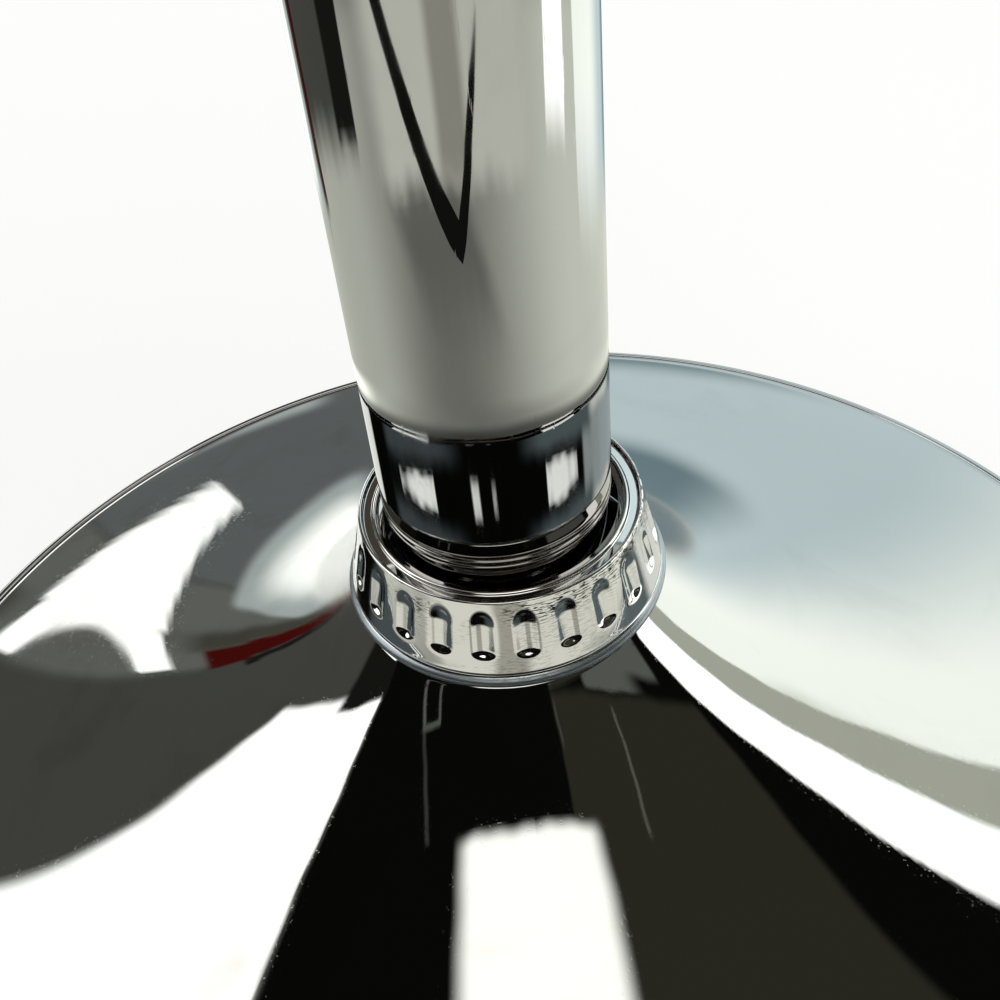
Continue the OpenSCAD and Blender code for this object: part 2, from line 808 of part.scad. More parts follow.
module seat_plate() {
  hole_r = bolt_d / 2 + 0.2;
  ear_h = lever_z - plate_floor_z - plate_t + 4.5;
  slot_rise = (box_w / 2 - pivot_x) * sin(lever_lift);
  color(black)
    difference() {
      union() {
        difference() {
          union() {
            translate([0, 0, plate_z]) linear_extrude(plate_t) plate_outline(plate_w, plate_edge);
            translate([0, 0, plate_floor_z])
              linear_extrude(plate_z - plate_floor_z + eps) plate_outline(box_w, 12);
          }
          translate([0, 0, plate_floor_z + plate_t])
            linear_extrude(60) plate_outline(box_w - 2 * plate_t, 11);
        }
        for (s = [-1, 1])
          translate([pivot_x - ear_w / 2, s * (ear_y + ear_t / 2) - ear_t / 2, plate_floor_z + plate_t])
            cube([ear_w / 2 + ear_out, ear_t, ear_h]);
      }
      translate([0, 0, plate_floor_z - 1])
        cylinder(r = cone_r(hub_z) + hub_wall + seat_gap, h = plate_t + 2);
      translate([pivot_x, 0, lever_z])
        rotate([90, 0, 0]) cylinder(r = pivot_d / 2 + seat_gap, h = 40, center = true, $fn = 48);
      translate([box_w / 2 - plate_t - 1, -lever_r - slot_gap, lever_z - lever_r - slot_gap])
        cube([plate_t + 2, lever_d + 2 * slot_gap, lever_d + 2 * slot_gap + slot_rise]);
      for (x = [-1, 1], y = [-1, 1])
        translate([x * bolt_pitch / 2, y * bolt_pitch / 2, plate_z - 1])
          cylinder(r = hole_r, h = plate_t + 2, $fn = 48);
    }
}

module seat_bolts() {
  head_h = bolt_d * 0.66;
  color(steel)
    for (x = [-1, 1], y = [-1, 1])
      translate([x * bolt_pitch / 2, y * bolt_pitch / 2, plate_z]) {
        translate([0, 0, -head_h]) cylinder(r = bolt_d * 0.86, h = head_h, $fn = 6);
        translate([0, 0, -eps]) cylinder(r = bolt_d / 2, h = plate_t + board_t - 2, $fn = 48);
      }
}

module t_nuts() {
  color(steel)
    for (x = [-1, 1], y = [-1, 1])
      translate([x * bolt_pitch / 2, y * bolt_pitch / 2, 0])
        difference() {
          union() {
            translate([0, 0, board_z + 1.5])
              cylinder(r = t_nut_r, h = board_t - 1.5 - t_nut_flange_t / 2, $fn = 48);
            translate([0, 0, board_top - t_nut_flange_t])
              cylinder(r = t_nut_flange_r, h = t_nut_flange_t, $fn = 48);
          }
          translate([0, 0, board_z]) cylinder(r = bolt_d / 2 + seat_gap, h = board_t + 1, $fn = 48);
        }
}

module seat_board() {
  color(ply)
    difference() {
      translate([0, 0, board_z]) cylinder(r = board_r, h = board_t, $fn = 128);
      for (x = [-1, 1], y = [-1, 1])
        translate([x * bolt_pitch / 2, y * bolt_pitch / 2, 0]) {
          translate([0, 0, board_z - 1]) cylinder(r = t_nut_r + seat_gap, h = board_t + 2, $fn = 48);
          translate([0, 0, board_top - t_nut_flange_t])
            cylinder(r = t_nut_flange_r + seat_gap, h = 4, $fn = 48);
        }
      for (i = [0:pan_screw_n - 1])
        rotate((i + 0.5) * 360 / pan_screw_n)
          translate([pan_screw_r, 0, board_z - 1])
            cylinder(r = pan_screw_shank_r + seat_gap, h = pan_screw_l + 1.5, $fn = 32);
    }
}

module seat_pan() {
  arc_c = [pan_arc_r, board_z - pan_t + pan_edge_h];
  color(black)
    difference() {
      rotate_extrude($fn = 128)
        polygon(concat(
          [[pan_hole_r, board_z], [pan_hole_r, board_z - pan_t]],
          [for (a = [0:9:90]) arc_c + pan_edge_h * [sin(a), -cos(a)]],
          [for (a = [90:-9:0]) arc_c + (pan_edge_h - pan_t) * [sin(a), -cos(a)]]));
      for (i = [0:pan_screw_n - 1])
        rotate((i + 0.5) * 360 / pan_screw_n)
          translate([pan_screw_r, 0, board_z - pan_t - 1])
            cylinder(r = pan_screw_shank_r + 0.2, h = pan_t + 2, $fn = 32);
    }
}

module pan_screws() {
  head_h = 2;
  color(steel)
    for (i = [0:pan_screw_n - 1])
      rotate((i + 0.5) * 360 / pan_screw_n)
        translate([pan_screw_r, 0, board_z - pan_t]) {
          translate([0, 0, -head_h]) cylinder(r = 3.8, h = head_h, $fn = 32);
          translate([0, 0, -eps]) cylinder(r = pan_screw_shank_r, h = pan_t + pan_screw_l, $fn = 32);
        }
}

module seat_cushion() {
  low = board_top + rest_gap;
  edge_z = max(low, board_z - pan_t + pan_edge_h + rest_gap);
  side = [
    [seat_r - 3, edge_z],
    [seat_r + 1.4, edge_z + 12],
    [seat_r + 1.4, welt_c[1] - 22],
    welt_c];
  crown = [welt_c, welt_c + [-4, 12], [welt_c[0] - 40, seat_h + 0.4], [60, seat_h], [0, seat_h]];
  color(red_hide)
    rotate_extrude($fn = 128)
      difference() {
        polygon(concat(
          [[0, low], [board_r - 4, low], [pan_r - pan_t - 3, edge_z]],
          [for (i = [0:8]) bezier(side, i / 8)],
          [for (i = [1:14]) bezier(crown, i / 14)]));
        translate(welt_c) circle(r = welt_r + seat_gap, $fn = 24);
      }
}

module seat_welt() {
  color(red_hide)
    rotate_extrude($fn = 128) translate(welt_c) circle(r = welt_r, $fn = 24);
}

// Lever: a bent rod on a pivot in the seat plate, with its inner end over the pin

module bar(p, q, r) {
  d = q - p;
  translate([p[0], 0, p[1]])
    rotate([0, 90 - atan2(d[1], d[0]), 0]) cylinder(r = r, h = norm(d));
}

module lever_rod() {
  color(chrome)
    difference() {
      union() {
        for (i = [0:len(lever_corners) - 2]) bar(lever_corners[i], lever_corners[i + 1], lever_r);
        for (p = [lever_knee, lever_low_knee]) translate([p[0], 0, p[1]]) sphere(r = lever_r + 0.2);
        translate([pivot_x, 0, lever_z])
          rotate([90, 0, 0]) cylinder(r = lever_r + 1.5, h = 2 * ear_y - 0.6, center = true);
      }
      translate([pivot_x, 0, lever_z])
        rotate([90, 0, 0]) cylinder(r = pivot_d / 2 + slide_gap, h = 40, center = true, $fn = 48);
    }
}

module lever_pivot_pin() {
  color(steel)
    translate([pivot_x, 0, lever_z])
      rotate([90, 0, 0]) cylinder(r = pivot_d / 2, h = 2 * (ear_y + ear_t + 0.6), center = true, $fn = 48);
}

module lever_grip() {
  g = grip_d / 2;
  color(black)
    translate([lever_end[0], 0, lever_end[1]])
      rotate([0, 90 + lever_slope, 0])
        translate([0, 0, 3 - grip_l])
          difference() {
            rotate_extrude($fn = 64)
              polygon(concat(
                [[0, 0], [g * 0.62, 0], [g * 0.74, 2], [g, grip_l * 0.62]],
                [for (a = [0:15:90]) [g * cos(a), grip_l - g * 0.7 + g * 0.7 * sin(a)]]));
            translate([0, 0, -1]) cylinder(r = lever_r + seat_gap, h = grip_l - 2);
          }
}

base_dish();
base_socket();
socket_gussets();
ballast_plate();
ballast_screws();
floor_ring();
column_tube();
column_cap();
guide_bush();
footrest_clamp();
footrest_loop();
footrest_screws();
trim_collar();
thrust_washer_lower();
thrust_washer_upper();
ball_cage();
thrust_balls();
rod_bumper();
piston_rod();
rod_clip();
piston();
piston_seal();
gas_cylinder();
rod_gland();
valve_body();
release_pin();
taper_hub();
seat_plate();
seat_bolts();
t_nuts();
seat_board();
seat_pan();
pan_screws();
seat_cushion();
seat_welt();
lever_pivot_pin();
lever_rod();
lever_grip();
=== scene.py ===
# A gas-lift bar stool on a spun chrome dish, looked down on past its column. Its large pieces are
# surfaces worked out with numpy, and the small parts of the lift and the fixings are the packed
# solids with better finishes.
import bmesh
import bpy
import json
import math
import numpy as np
from mathutils import Matrix


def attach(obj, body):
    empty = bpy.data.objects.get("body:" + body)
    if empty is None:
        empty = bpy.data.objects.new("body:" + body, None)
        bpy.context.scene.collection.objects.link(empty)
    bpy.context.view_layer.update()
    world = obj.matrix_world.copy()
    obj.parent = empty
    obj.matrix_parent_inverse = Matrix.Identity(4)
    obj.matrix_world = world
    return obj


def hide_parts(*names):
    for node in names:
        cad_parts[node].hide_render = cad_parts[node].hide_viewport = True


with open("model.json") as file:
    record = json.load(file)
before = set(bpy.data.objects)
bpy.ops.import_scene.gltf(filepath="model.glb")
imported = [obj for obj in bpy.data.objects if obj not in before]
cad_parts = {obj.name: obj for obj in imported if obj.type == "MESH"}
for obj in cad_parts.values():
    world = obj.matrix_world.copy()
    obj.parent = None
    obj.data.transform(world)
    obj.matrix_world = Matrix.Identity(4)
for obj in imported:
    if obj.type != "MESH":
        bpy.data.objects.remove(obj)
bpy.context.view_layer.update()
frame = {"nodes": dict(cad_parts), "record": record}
mm = 0.001
turn = 2 * math.pi


# Mesh tools

def pick(values, *keys):
    return [values[key] for key in keys]


def meshPiece(name, points, faces, mergePoles=False):
    # Signed volume is a sixth of the sum of a . (b x c) over the triangles of each face.
    # Where it is negative the faces look inwards, so their corners are taken in the other order.
    a, b, c, d = (points[faces[:, k]] for k in range(4))
    if np.einsum("ij,ij->", a, np.cross(b, c) + np.cross(c, d)) < 0:
        faces = faces[:, ::-1]
    mesh = bpy.data.meshes.new(name)
    mesh.from_pydata(points.tolist(), [], faces.tolist())
    if mergePoles:
        work = bmesh.new()
        work.from_mesh(mesh)
        bmesh.ops.remove_doubles(work, verts=work.verts, dist=1e-7)
        work.to_mesh(mesh)
        work.free()
    mesh.shade_smooth()
    piece = bpy.data.objects.new(name, mesh)
    bpy.context.scene.collection.objects.link(piece)
    return piece


def gridFaces(rows, cols, closeRows, closeCols):
    # Every cell between four neighbouring points of the grid is a face; a closed direction also
    # joins its last line of points to its first.
    index = np.arange(rows * cols).reshape(rows, cols)
    if closeRows:
        index = np.vstack([index, index[:1]])
    if closeCols:
        index = np.hstack([index, index[:, :1]])
    return np.stack([index[:-1, :-1], index[1:, :-1], index[1:, 1:], index[:-1, 1:]], -1).reshape(-1, 4)


def gridPiece(name, grid, closeRows=True, closeCols=True, mergePoles=False):
    rows, cols = grid.shape[:2]
    return meshPiece(name, grid.reshape(-1, 3), gridFaces(rows, cols, closeRows, closeCols), mergePoles)


def ringAngles(steps):
    return np.arange(steps) / steps * turn


def revolved(profile, steps):
    # Point (row, col) is the profile's radius and height carried round Z: (r cos t, r sin t, z).
    t = ringAngles(steps)
    r, z = profile[:, :1], profile[:, 1:]
    return np.stack([r * np.cos(t), r * np.sin(t), z + 0 * t], -1)


def arc(centre, radius, start, end, steps):
    # Points on a circle between two angles in degrees.
    a = np.radians(np.linspace(start, end, steps))
    return np.array(centre) + radius * np.stack([np.cos(a), np.sin(a)], -1)


def bezierCurve(pull, steps):
    # Bernstein sum over the pull points: choose(n, k) t^k (1 - t)^(n - k), and its slope from the
    # differences of neighbouring pull points.
    pull = np.array(pull, float)
    t = np.linspace(0, 1, steps)[:, None]

    def bernstein(points):
        n = len(points) - 1
        return sum(math.comb(n, k) * t**k * (1 - t) ** (n - k) * points[k] for k in range(n + 1))

    way = bernstein(np.diff(pull, axis=0))
    return bernstein(pull), way / np.linalg.norm(way, axis=1, keepdims=True)


def roundedCorners(corners, cuts, steps=5, closed=True):
    # Each corner becomes a quadratic curve from a point before it to a point after it, both one
    # cut away along the edges, with one more point just outside each end to hold the flats flat.
    longestCut, guard, furthestGuard = 0.42, 1.35, 0.47  # of an edge, of the cut, of an edge
    corners = np.array(corners, float)
    cuts = np.broadcast_to(np.array(cuts, float), len(corners))[:, None]
    before, after = np.roll(corners, 1, 0) - corners, np.roll(corners, -1, 0) - corners
    lengths = [np.linalg.norm(edge, axis=1, keepdims=True) for edge in (before, after)]
    reach = [np.minimum(cuts, longestCut * length) for length in lengths]
    start, end = corners + before / lengths[0] * reach[0], corners + after / lengths[1] * reach[1]
    t = np.linspace(0, 1, steps)[None, :, None]
    curve = (1 - t) ** 2 * start[:, None] + 2 * t * (1 - t) * corners[:, None] + t**2 * end[:, None]
    outer = [(corners + edge / length * np.minimum(guard * cut, furthestGuard * length))[:, None]
             for edge, length, cut in zip((before, after), lengths, reach)]
    points = np.concatenate([outer[0], curve, outer[1]], axis=1)
    if closed:
        return points.reshape(-1, corners.shape[1])
    return np.concatenate([corners[:1], points[1:-1].reshape(-1, corners.shape[1]), corners[-1:]])


def sweptGrid(path, radii, fixed, cols):
    # A round section carried along a flat path: path + radius (cos t side + sin t fixed), where
    # side is square to the path and to the fixed direction.
    fixed = np.array(fixed, float)
    way = np.gradient(path, axis=0)
    way /= np.linalg.norm(way, axis=1, keepdims=True)
    side = np.cross(fixed, way)
    side /= np.linalg.norm(side, axis=1, keepdims=True)
    t = ringAngles(cols)[None, :, None]
    return path[:, None] + radii[:, None, None] * (np.cos(t) * side[:, None] + np.sin(t) * fixed)


def smoothStep(x, low, high):
    # 0 below low, 1 above high and 3t^2 - 2t^3 between.
    t = np.clip((x - low) / (high - low), 0, 1)
    return t * t * (3 - 2 * t)


def vertexArray(piece):
    co = np.empty(len(piece.data.vertices) * 3)
    piece.data.vertices.foreach_get("co", co)
    return co.reshape(-1, 3)


def moveVertices(piece, co):
    piece.data.vertices.foreach_set("co", co.reshape(-1))
    piece.data.update()


def applyModifiers(piece):
    # The evaluated mesh takes the place of the piece's own, and its modifiers go.
    bpy.context.view_layer.update()
    finished = bpy.data.meshes.new_from_object(piece.evaluated_get(bpy.context.evaluated_depsgraph_get()))
    piece.modifiers.clear()
    piece.data = finished


def placed(piece, body, slot, material, *nodes):
    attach(piece, body)
    if nodes:
        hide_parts(*nodes)
    piece.data.materials.clear()
    piece.data.materials.append(material)
    print(piece.name, len(piece.data.polygons), "faces, rides on", body)


def spun(name, profile, steps, *place):
    placed(gridPiece(name, revolved(profile, steps) * mm), *place)


# Material tools

def feed(tree, socket, value):
    # A socket takes another node's output, a plain value, or a colour that may lack its alpha.
    if isinstance(value, bpy.types.NodeSocket):
        tree.links.new(value, socket)
    elif socket.type == "RGBA" and len(value) == 3:
        socket.default_value = (*value, 1)
    else:
        socket.default_value = value


def feedAll(tree, node, **inputs):
    for key, value in inputs.items():
        feed(tree, node.inputs[key.replace("_", " ")], value)


def addNode(tree, kind, settings=None, **inputs):
    made = tree.nodes.new("ShaderNode" + kind)
    for key, value in (settings or {}).items():
        setattr(made, key, value)
    feedAll(tree, made, **inputs)
    return made


def addInOrder(tree, kind, settings, *values):
    # For nodes whose sockets share a name: the values go to them in order.
    made = addNode(tree, kind, settings)
    for socket, value in zip(made.inputs, values):
        feed(tree, socket, value)
    return made.outputs


def math2(tree, operation, a, b):
    return addInOrder(tree, "Math", {"operation": operation}, a, b)[0]


def times(tree, a, b):
    return math2(tree, "MULTIPLY", a, b)


def vectorMath(tree, operation, *values):
    return addInOrder(tree, "VectorMath", {"operation": operation}, *values)


def mixShaders(tree, share, a, b):
    return addInOrder(tree, "MixShader", {}, share, a, b)[0]


def mixColor(tree, share, a, b):
    made = addNode(tree, "Mix", {"data_type": "RGBA"})
    for place, value in zip((0, 6, 7), (share, a, b)):  # factor, A and B of the colour mix
        feed(tree, made.inputs[place], value)
    return made.outputs[2]


def newMaterial(name, color, roughness, metallic=0.0, specular=0.5):
    material = bpy.data.materials.new(name)
    material.use_nodes = True
    tree = material.node_tree
    surface = tree.nodes["Principled BSDF"]
    feedAll(tree, surface, Base_Color=color, Roughness=roughness, Metallic=metallic,
            Specular_IOR_Level=specular)
    return material, tree, surface


def objectPoint(tree, stretch=(1, 1, 1)):
    point = addNode(tree, "TexCoord").outputs["Object"]
    return addNode(tree, "Mapping", Vector=point, Scale=stretch).outputs["Vector"]


def objectXyz(tree):
    return addNode(tree, "SeparateXYZ", Vector=objectPoint(tree)).outputs


def noise(tree, scale, detail=2.0, roughness=0.5, distortion=0.0, point=None):
    return addNode(tree, "TexNoise", Vector=point or objectPoint(tree), Scale=scale, Detail=detail,
                   Roughness=roughness, Distortion=distortion).outputs["Fac"]


def remap(tree, value, low, high, outLow=0.0, outHigh=1.0):
    return addNode(tree, "MapRange", {"interpolation_type": "SMOOTHSTEP"}, Value=value, From_Min=low,
                   From_Max=high, To_Min=outLow, To_Max=outHigh).outputs["Result"]


def bump(tree, height, distance, below=None):
    below = {} if below is None else {"Normal": below}
    return addNode(tree, "Bump", Height=height, Distance=distance, Strength=1.0, **below).outputs["Normal"]


def mirrorChrome(name, color, waver, waverScale, scratchStretch, scratchDepth, smudge):
    # Bright plate over polished metal: a slow waver, fine scratches along the polishing
    # direction, and faint smudges that only blur what it mirrors.
    material, tree, surface = newMaterial(name, color, 0.03, 1.0)
    slow = bump(tree, noise(tree, waverScale, 1.0), waver)
    scratches = remap(tree, noise(tree, 900.0, 3.0, 0.7, point=objectPoint(tree, scratchStretch)), 0.62, 0.70)
    cloud = noise(tree, 22.0, 4.0, 0.65, 0.6)
    feedAll(tree, surface, Roughness=remap(tree, cloud, 0.45, 0.75, 0.008, smudge),
            Base_Color=mixColor(tree, remap(tree, cloud, 0.5, 0.8), color, [c * 0.93 for c in color]),
            Normal=bump(tree, scratches, scratchDepth, slow))
    return material


def plateSockets(material):
    # A chrome's shader, and what already feeds its roughness and its colour
    surface = material.node_tree.nodes["Principled BSDF"]
    return surface, *(surface.inputs[key].links[0].from_socket for key in ("Roughness", "Base Color"))


def handledDish(name, color, middle, reach, dull):
    # The dish's plate is duller round the back of its neck, where hands take hold, and its colour
    # is darkened in faint blots, mostly on its left.
    material = mirrorChrome(name, color, 0.00003, 26.0, (1, 1, 1), 0.0000012, 0.035)
    tree = material.node_tree
    surface, smudged, plate = plateSockets(material)
    away = vectorMath(tree, "DISTANCE", objectPoint(tree), middle)["Value"]
    held = remap(tree, away, *reach, dull, 0.0)
    across = objectXyz(tree)["X"]
    blot = remap(tree, noise(tree, 30.0, 3.0, 0.55, 0.8), 0.50, 0.75, 0.0, 0.34)
    blot = times(tree, blot, remap(tree, across, -0.03, 0.02, 1.0, 0.1))
    blotColor = [c * s for c, s in zip(color, (0.62, 0.58, 0.52))]
    feedAll(tree, surface, Roughness=math2(tree, "ADD", smudged, held),
            Base_Color=mixColor(tree, blot, plate, blotColor))
    return material


def platedCollar(name, color, footZ, topZ, crownR):
    # Plate over moulded plastic: mirror bright but softer at the foot bead, whose slate blue is a
    # painted reflection, with short dark scuffs that lie round the outer wall, along its top edge and in
    # patches below it.
    material = mirrorChrome(name, color, 0.00003, 120.0, (0.5, 0.5, 1), 0.000002, 0.10)
    tree = material.node_tree
    surface, smudged, plate = plateSockets(material)
    wallR, dashSlow = 0.033, 0.16  # a dash is drawn out round the wall by one over dashSlow
    place = objectXyz(tree)
    angle = math2(tree, "ARCTAN2", place["X"], times(tree, place["Y"], -1.0))
    unrolled = addNode(tree, "CombineXYZ", X=times(tree, angle, wallR * dashSlow), Y=place["Z"])
    dashes = remap(tree, noise(tree, 3200.0, 2.0, 0.6, point=unrolled.outputs[0]), 0.51, 0.56)
    flat = addNode(tree, "CombineXYZ", X=place["X"], Y=place["Y"]).outputs[0]
    onWall = remap(tree, vectorMath(tree, "LENGTH", flat)["Value"], crownR - 0.2 * mm, crownR + 0.4 * mm)
    nearTop = remap(tree, place["Z"], topZ - 8.0 * mm, topZ - 1.5 * mm)
    patch = remap(tree, noise(tree, 48.0, 3.0, 0.6), 0.42, 0.58)
    worn = times(tree, patch, math2(tree, "ADD", nearTop, 0.25))
    scuff = times(tree, times(tree, dashes, onWall), worn)
    foot = remap(tree, place["Z"], footZ + 2.6 * mm, footZ + 3.4 * mm, 1.0, 0.0)
    softFoot, softScuff = times(tree, foot, 0.38), times(tree, scuff, 0.3)
    # The foot bead's colour is painted slate blue: a painted reflection, not the plate's own colour.
    plateWithPaintedBead = mixColor(tree, foot, plate, [0.36, 0.41, 0.44])
    feedAll(tree, surface, Base_Color=mixColor(tree, scuff, plateWithPaintedBead, [0.05, 0.05, 0.045]),
            Roughness=math2(tree, "ADD", math2(tree, "ADD", smudged, softFoot), softScuff))
    return material


def zincSteel(name, color, roughness, stretch):
    # Zinc plate: a bluish and yellowish bloom, and fine tool marks.
    material, tree, surface = newMaterial(name, color, roughness, 1.0)
    bloom = remap(tree, noise(tree, 160.0, 3.0, 0.6), 0.35, 0.65)
    warm, cool = ([c * s for c, s in zip(color, by)] for by in ((1.04, 1, 0.9), (0.92, 0.97, 1)))
    marks = noise(tree, 1500.0, point=objectPoint(tree, stretch))
    feedAll(tree, surface, Base_Color=mixColor(tree, bloom, warm, cool), Normal=bump(tree, marks, 0.00002),
            Roughness=remap(tree, marks, 0.3, 0.7, roughness - 0.08, roughness + 0.1))
    return material


def paintedMetal(name, color, roughness, peel):
    # Powder coat: orange peel, and slight rubbing where the noise peaks.
    material, tree, surface = newMaterial(name, color, roughness)
    rub = noise(tree, 45.0, 5.0, 0.7)
    rubbed = [c * 1.6 + 0.01 for c in color]
    feedAll(tree, surface, Base_Color=mixColor(tree, remap(tree, rub, 0.55, 0.8), color, rubbed),
            Roughness=remap(tree, rub, 0.3, 0.7, roughness + 0.08, roughness - 0.06),
            Normal=bump(tree, noise(tree, 1100.0), peel))
    return material


def grainedPlastic(name, color, roughness, cell, depth):
    # Spark-eroded mould grain: small cells of uneven height.
    material, tree, surface = newMaterial(name, color, roughness)
    cells = addNode(tree, "TexVoronoi", {"feature": "SMOOTH_F1"}, Vector=objectPoint(tree), Scale=cell,
                    Smoothness=0.6).outputs["Distance"]
    cloud = noise(tree, 60.0, 3.0)
    feedAll(tree, surface, Normal=bump(tree, cells, depth),
            Roughness=remap(tree, cloud, 0.35, 0.7, roughness - 0.05, roughness + 0.08),
            Base_Color=mixColor(tree, cloud, [c * 0.85 for c in color], [c * 1.2 for c in color]))
    return material


def mattRubber(name, color):
    # Rubber with a dusty bloom and a faint moulded texture.
    material, tree, surface = newMaterial(name, color, 0.75, specular=0.3)
    dust = remap(tree, noise(tree, 90.0, 5.0, 0.7), 0.5, 0.8)
    feedAll(tree, surface, Base_Color=mixColor(tree, dust, color, [c + 0.05 for c in color]),
            Normal=bump(tree, noise(tree, 1800.0), 0.00006))
    return material


def leatherette(name, color, pebble, depth):
    # Embossed vinyl: round pebbles with creases between them, glossier on their tops and darker in the
    # creases by painted shade, over a slow change of colour where hands and clothes have rubbed it.
    material, tree, surface = newMaterial(name, color, 0.42, specular=0.45)
    warp = addNode(tree, "TexNoise", Vector=objectPoint(tree), Scale=110.0, Detail=2.0).outputs["Color"]
    shifted = vectorMath(tree, "MULTIPLY_ADD", warp, [3.5 * mm] * 3, objectPoint(tree))["Vector"]
    cells = addNode(tree, "TexVoronoi", {"feature": "DISTANCE_TO_EDGE"}, Vector=shifted, Scale=pebble)
    top = remap(tree, cells.outputs["Distance"], 0.0, 0.22)
    wear = remap(tree, noise(tree, 14.0, 4.0, 0.6), 0.4, 0.75)
    rubbed = mixColor(tree, wear, color, [c * s for c, s in zip(color, (1.25, 1.5, 1.45))])
    crease = bump(tree, noise(tree, 38.0, 5.0, 0.6), 0.8 * mm)
    # Painted shade: the colour falls to 0.55 of itself in the creases between the pebbles.
    feedAll(tree, surface, Base_Color=mixColor(tree, top, [c * 0.55 for c in color], rubbed),
            Roughness=remap(tree, top, 0.0, 1.0, 0.6, 0.36), Normal=bump(tree, top, depth, crease))
    return material


def sawnPly(name, face, glue):
    # Birch ply: stretched grain on the faces and thin dark glue lines through its thickness.
    material, tree, surface = newMaterial(name, face, 0.6, specular=0.35)
    plyT, glueShare = 1.5 * mm, 0.18
    grain = noise(tree, 9.0, 5.0, 0.65, 0.4, point=objectPoint(tree, (6, 90, 90)))
    layer = math2(tree, "PINGPONG", times(tree, objectXyz(tree)["Z"], 1 / plyT), 1.0)
    wood = mixColor(tree, remap(tree, grain, 0.35, 0.7), face, [c * 0.72 for c in face])
    joint = remap(tree, layer, 0.0, glueShare, 1.0, 0.0)
    feedAll(tree, surface, Base_Color=mixColor(tree, joint, wood, glue), Normal=bump(tree, grain, 0.1 * mm))
    return material


# Colours are linear; wavers, scratches, peel, grain and pebbles are bump heights in metres
steelPlate = [0.58, 0.587, 0.578]
dishChrome = handledDish("dishChrome", steelPlate, middle=(0, 0.036, 0.078), reach=(0.048, 0.068), dull=0.15)
tubeChrome = mirrorChrome("tubeChrome", steelPlate, 0.00004, 60.0, (1, 1, 0.06), 0.000002, 0.07)
# The socket's plate colour is painted dark: painted shade for the gap under the collar where it sits.
shadedSocketChrome = mirrorChrome("shadedSocketChrome", [0.30, 0.29, 0.275], 0.00003, 90.0, (1, 1, 0.3), 0.000002, 0.2)
collarChrome = platedCollar("collarChrome", [0.84, 0.838, 0.82], footZ=88.2 * mm, topZ=110.0 * mm,
                            crownR=31.3 * mm)
zinc = zincSteel("zincSteel", [0.62, 0.63, 0.65], 0.34, (1, 1, 0.2))
groundRod = zincSteel("groundRod", [0.66, 0.67, 0.68], 0.16, (0.1, 0.1, 1))
powderCoat = paintedMetal("powderCoat", [0.03, 0.03, 0.032], 0.42, peel=0.00006)
ballastPaint = paintedMetal("ballastPaint", [0.06, 0.06, 0.065], 0.5, peel=0.0001)
rubber = mattRubber("mattRubber", [0.028, 0.028, 0.028])
blackPlastic = grainedPlastic("blackPlastic", [0.032, 0.032, 0.035], 0.46, cell=1400.0, depth=0.00008)
nylon = grainedPlastic("naturalNylon", [0.80, 0.78, 0.71], 0.4, cell=700.0, depth=0.00004)
plywood = sawnPly("sawnPly", [0.66, 0.49, 0.30], glue=[0.22, 0.12, 0.06])
redHide = leatherette("redLeatherette", [0.24, 0.014, 0.020], pebble=620.0, depth=0.00016)
print("materials made")

finishes = {"chrome": tubeChrome, "chrome_plastic": collarChrome, "steel": zinc, "rod_steel": groundRod,
            "black_steel": powderCoat, "ballast": ballastPaint, "rubber": rubber, "nylon": nylon,
            "black_plastic": blackPlastic, "plywood": plywood, "upholstery": redHide}
for part in frame["record"]["subparts"]:
    node = frame["nodes"][part["node"]]
    node.data.materials.clear()
    node.data.materials.append(finishes[part["material_slot"]])
print("finishes given to", len(frame["nodes"]), "packed parts")


# Spun dish: neck, rounded shoulder, bell, skirt and rolled rim in one closed wall

dish = {"neckZ": 88.2, "neckR": 31.9, "holeR": 24.05, "sheet": 1.5, "shoulderR": 4.0, "bellSlope": 57.0,
        "bellDrop": 36.0, "bellFoot": (90.0, 31.0), "skirt": (140.5, 24.0), "rimCentre": (190.7, 5.0),
        "rimR": 1.8, "rimRoll": 160.0, "holeEdge": [(0, -0.3), (0.1, -0.05), (0.4, 0), (3, 0)],
        "wallRows": 112, "around": 384}


def dishProfile(d):
    neckR, neckZ, holeR, sheet = pick(d, "neckR", "neckZ", "holeR", "sheet")
    shoulderR, fall, rimCentre, rimR, roll = pick(d, "shoulderR", "bellSlope", "rimCentre", "rimR", "rimRoll")
    slope, shoulder = math.radians(fall), (neckR, neckZ - shoulderR)
    opening = math.degrees(math.asin(sheet / 2 / rimR))
    bellTop = arc(shoulder, shoulderR, 90, 90 - fall, 2)[1]
    fallWay = np.array([math.cos(slope), -math.sin(slope)])
    pull = [bellTop, bellTop + d["bellDrop"] * fallWay, d["bellFoot"], d["skirt"],
            (rimCentre[0], rimCentre[1] + sheet / 2)]
    outer, way = bezierCurve(pull, d["wallRows"])
    inner = outer + sheet * way[:, ::-1] * (1, -1)
    rimIn = rimCentre[0] - rimR - 1
    outer, inner = outer[outer[:, 0] < rimIn], inner[inner[:, 0] < rimIn]
    return np.concatenate([
        [(holeR + r, neckZ + z) for r, z in d["holeEdge"]], [(neckR - 0.8, neckZ)],
        arc(shoulder, shoulderR, 90, 90 - fall, 14)[:-1], outer,
        arc(rimCentre, rimR, roll - opening, roll + opening - 360, 34),
        inner[::-3], arc(shoulder, shoulderR - sheet, 90 - fall, 90, 6)[1:], [(holeR, neckZ - sheet)]])


spun("spunDish", dishProfile(dish), dish["around"], "base", "chrome", dishChrome, "base_dish")


# Socket: a tapered sleeve through the dish with a beaded mouth ring round the column

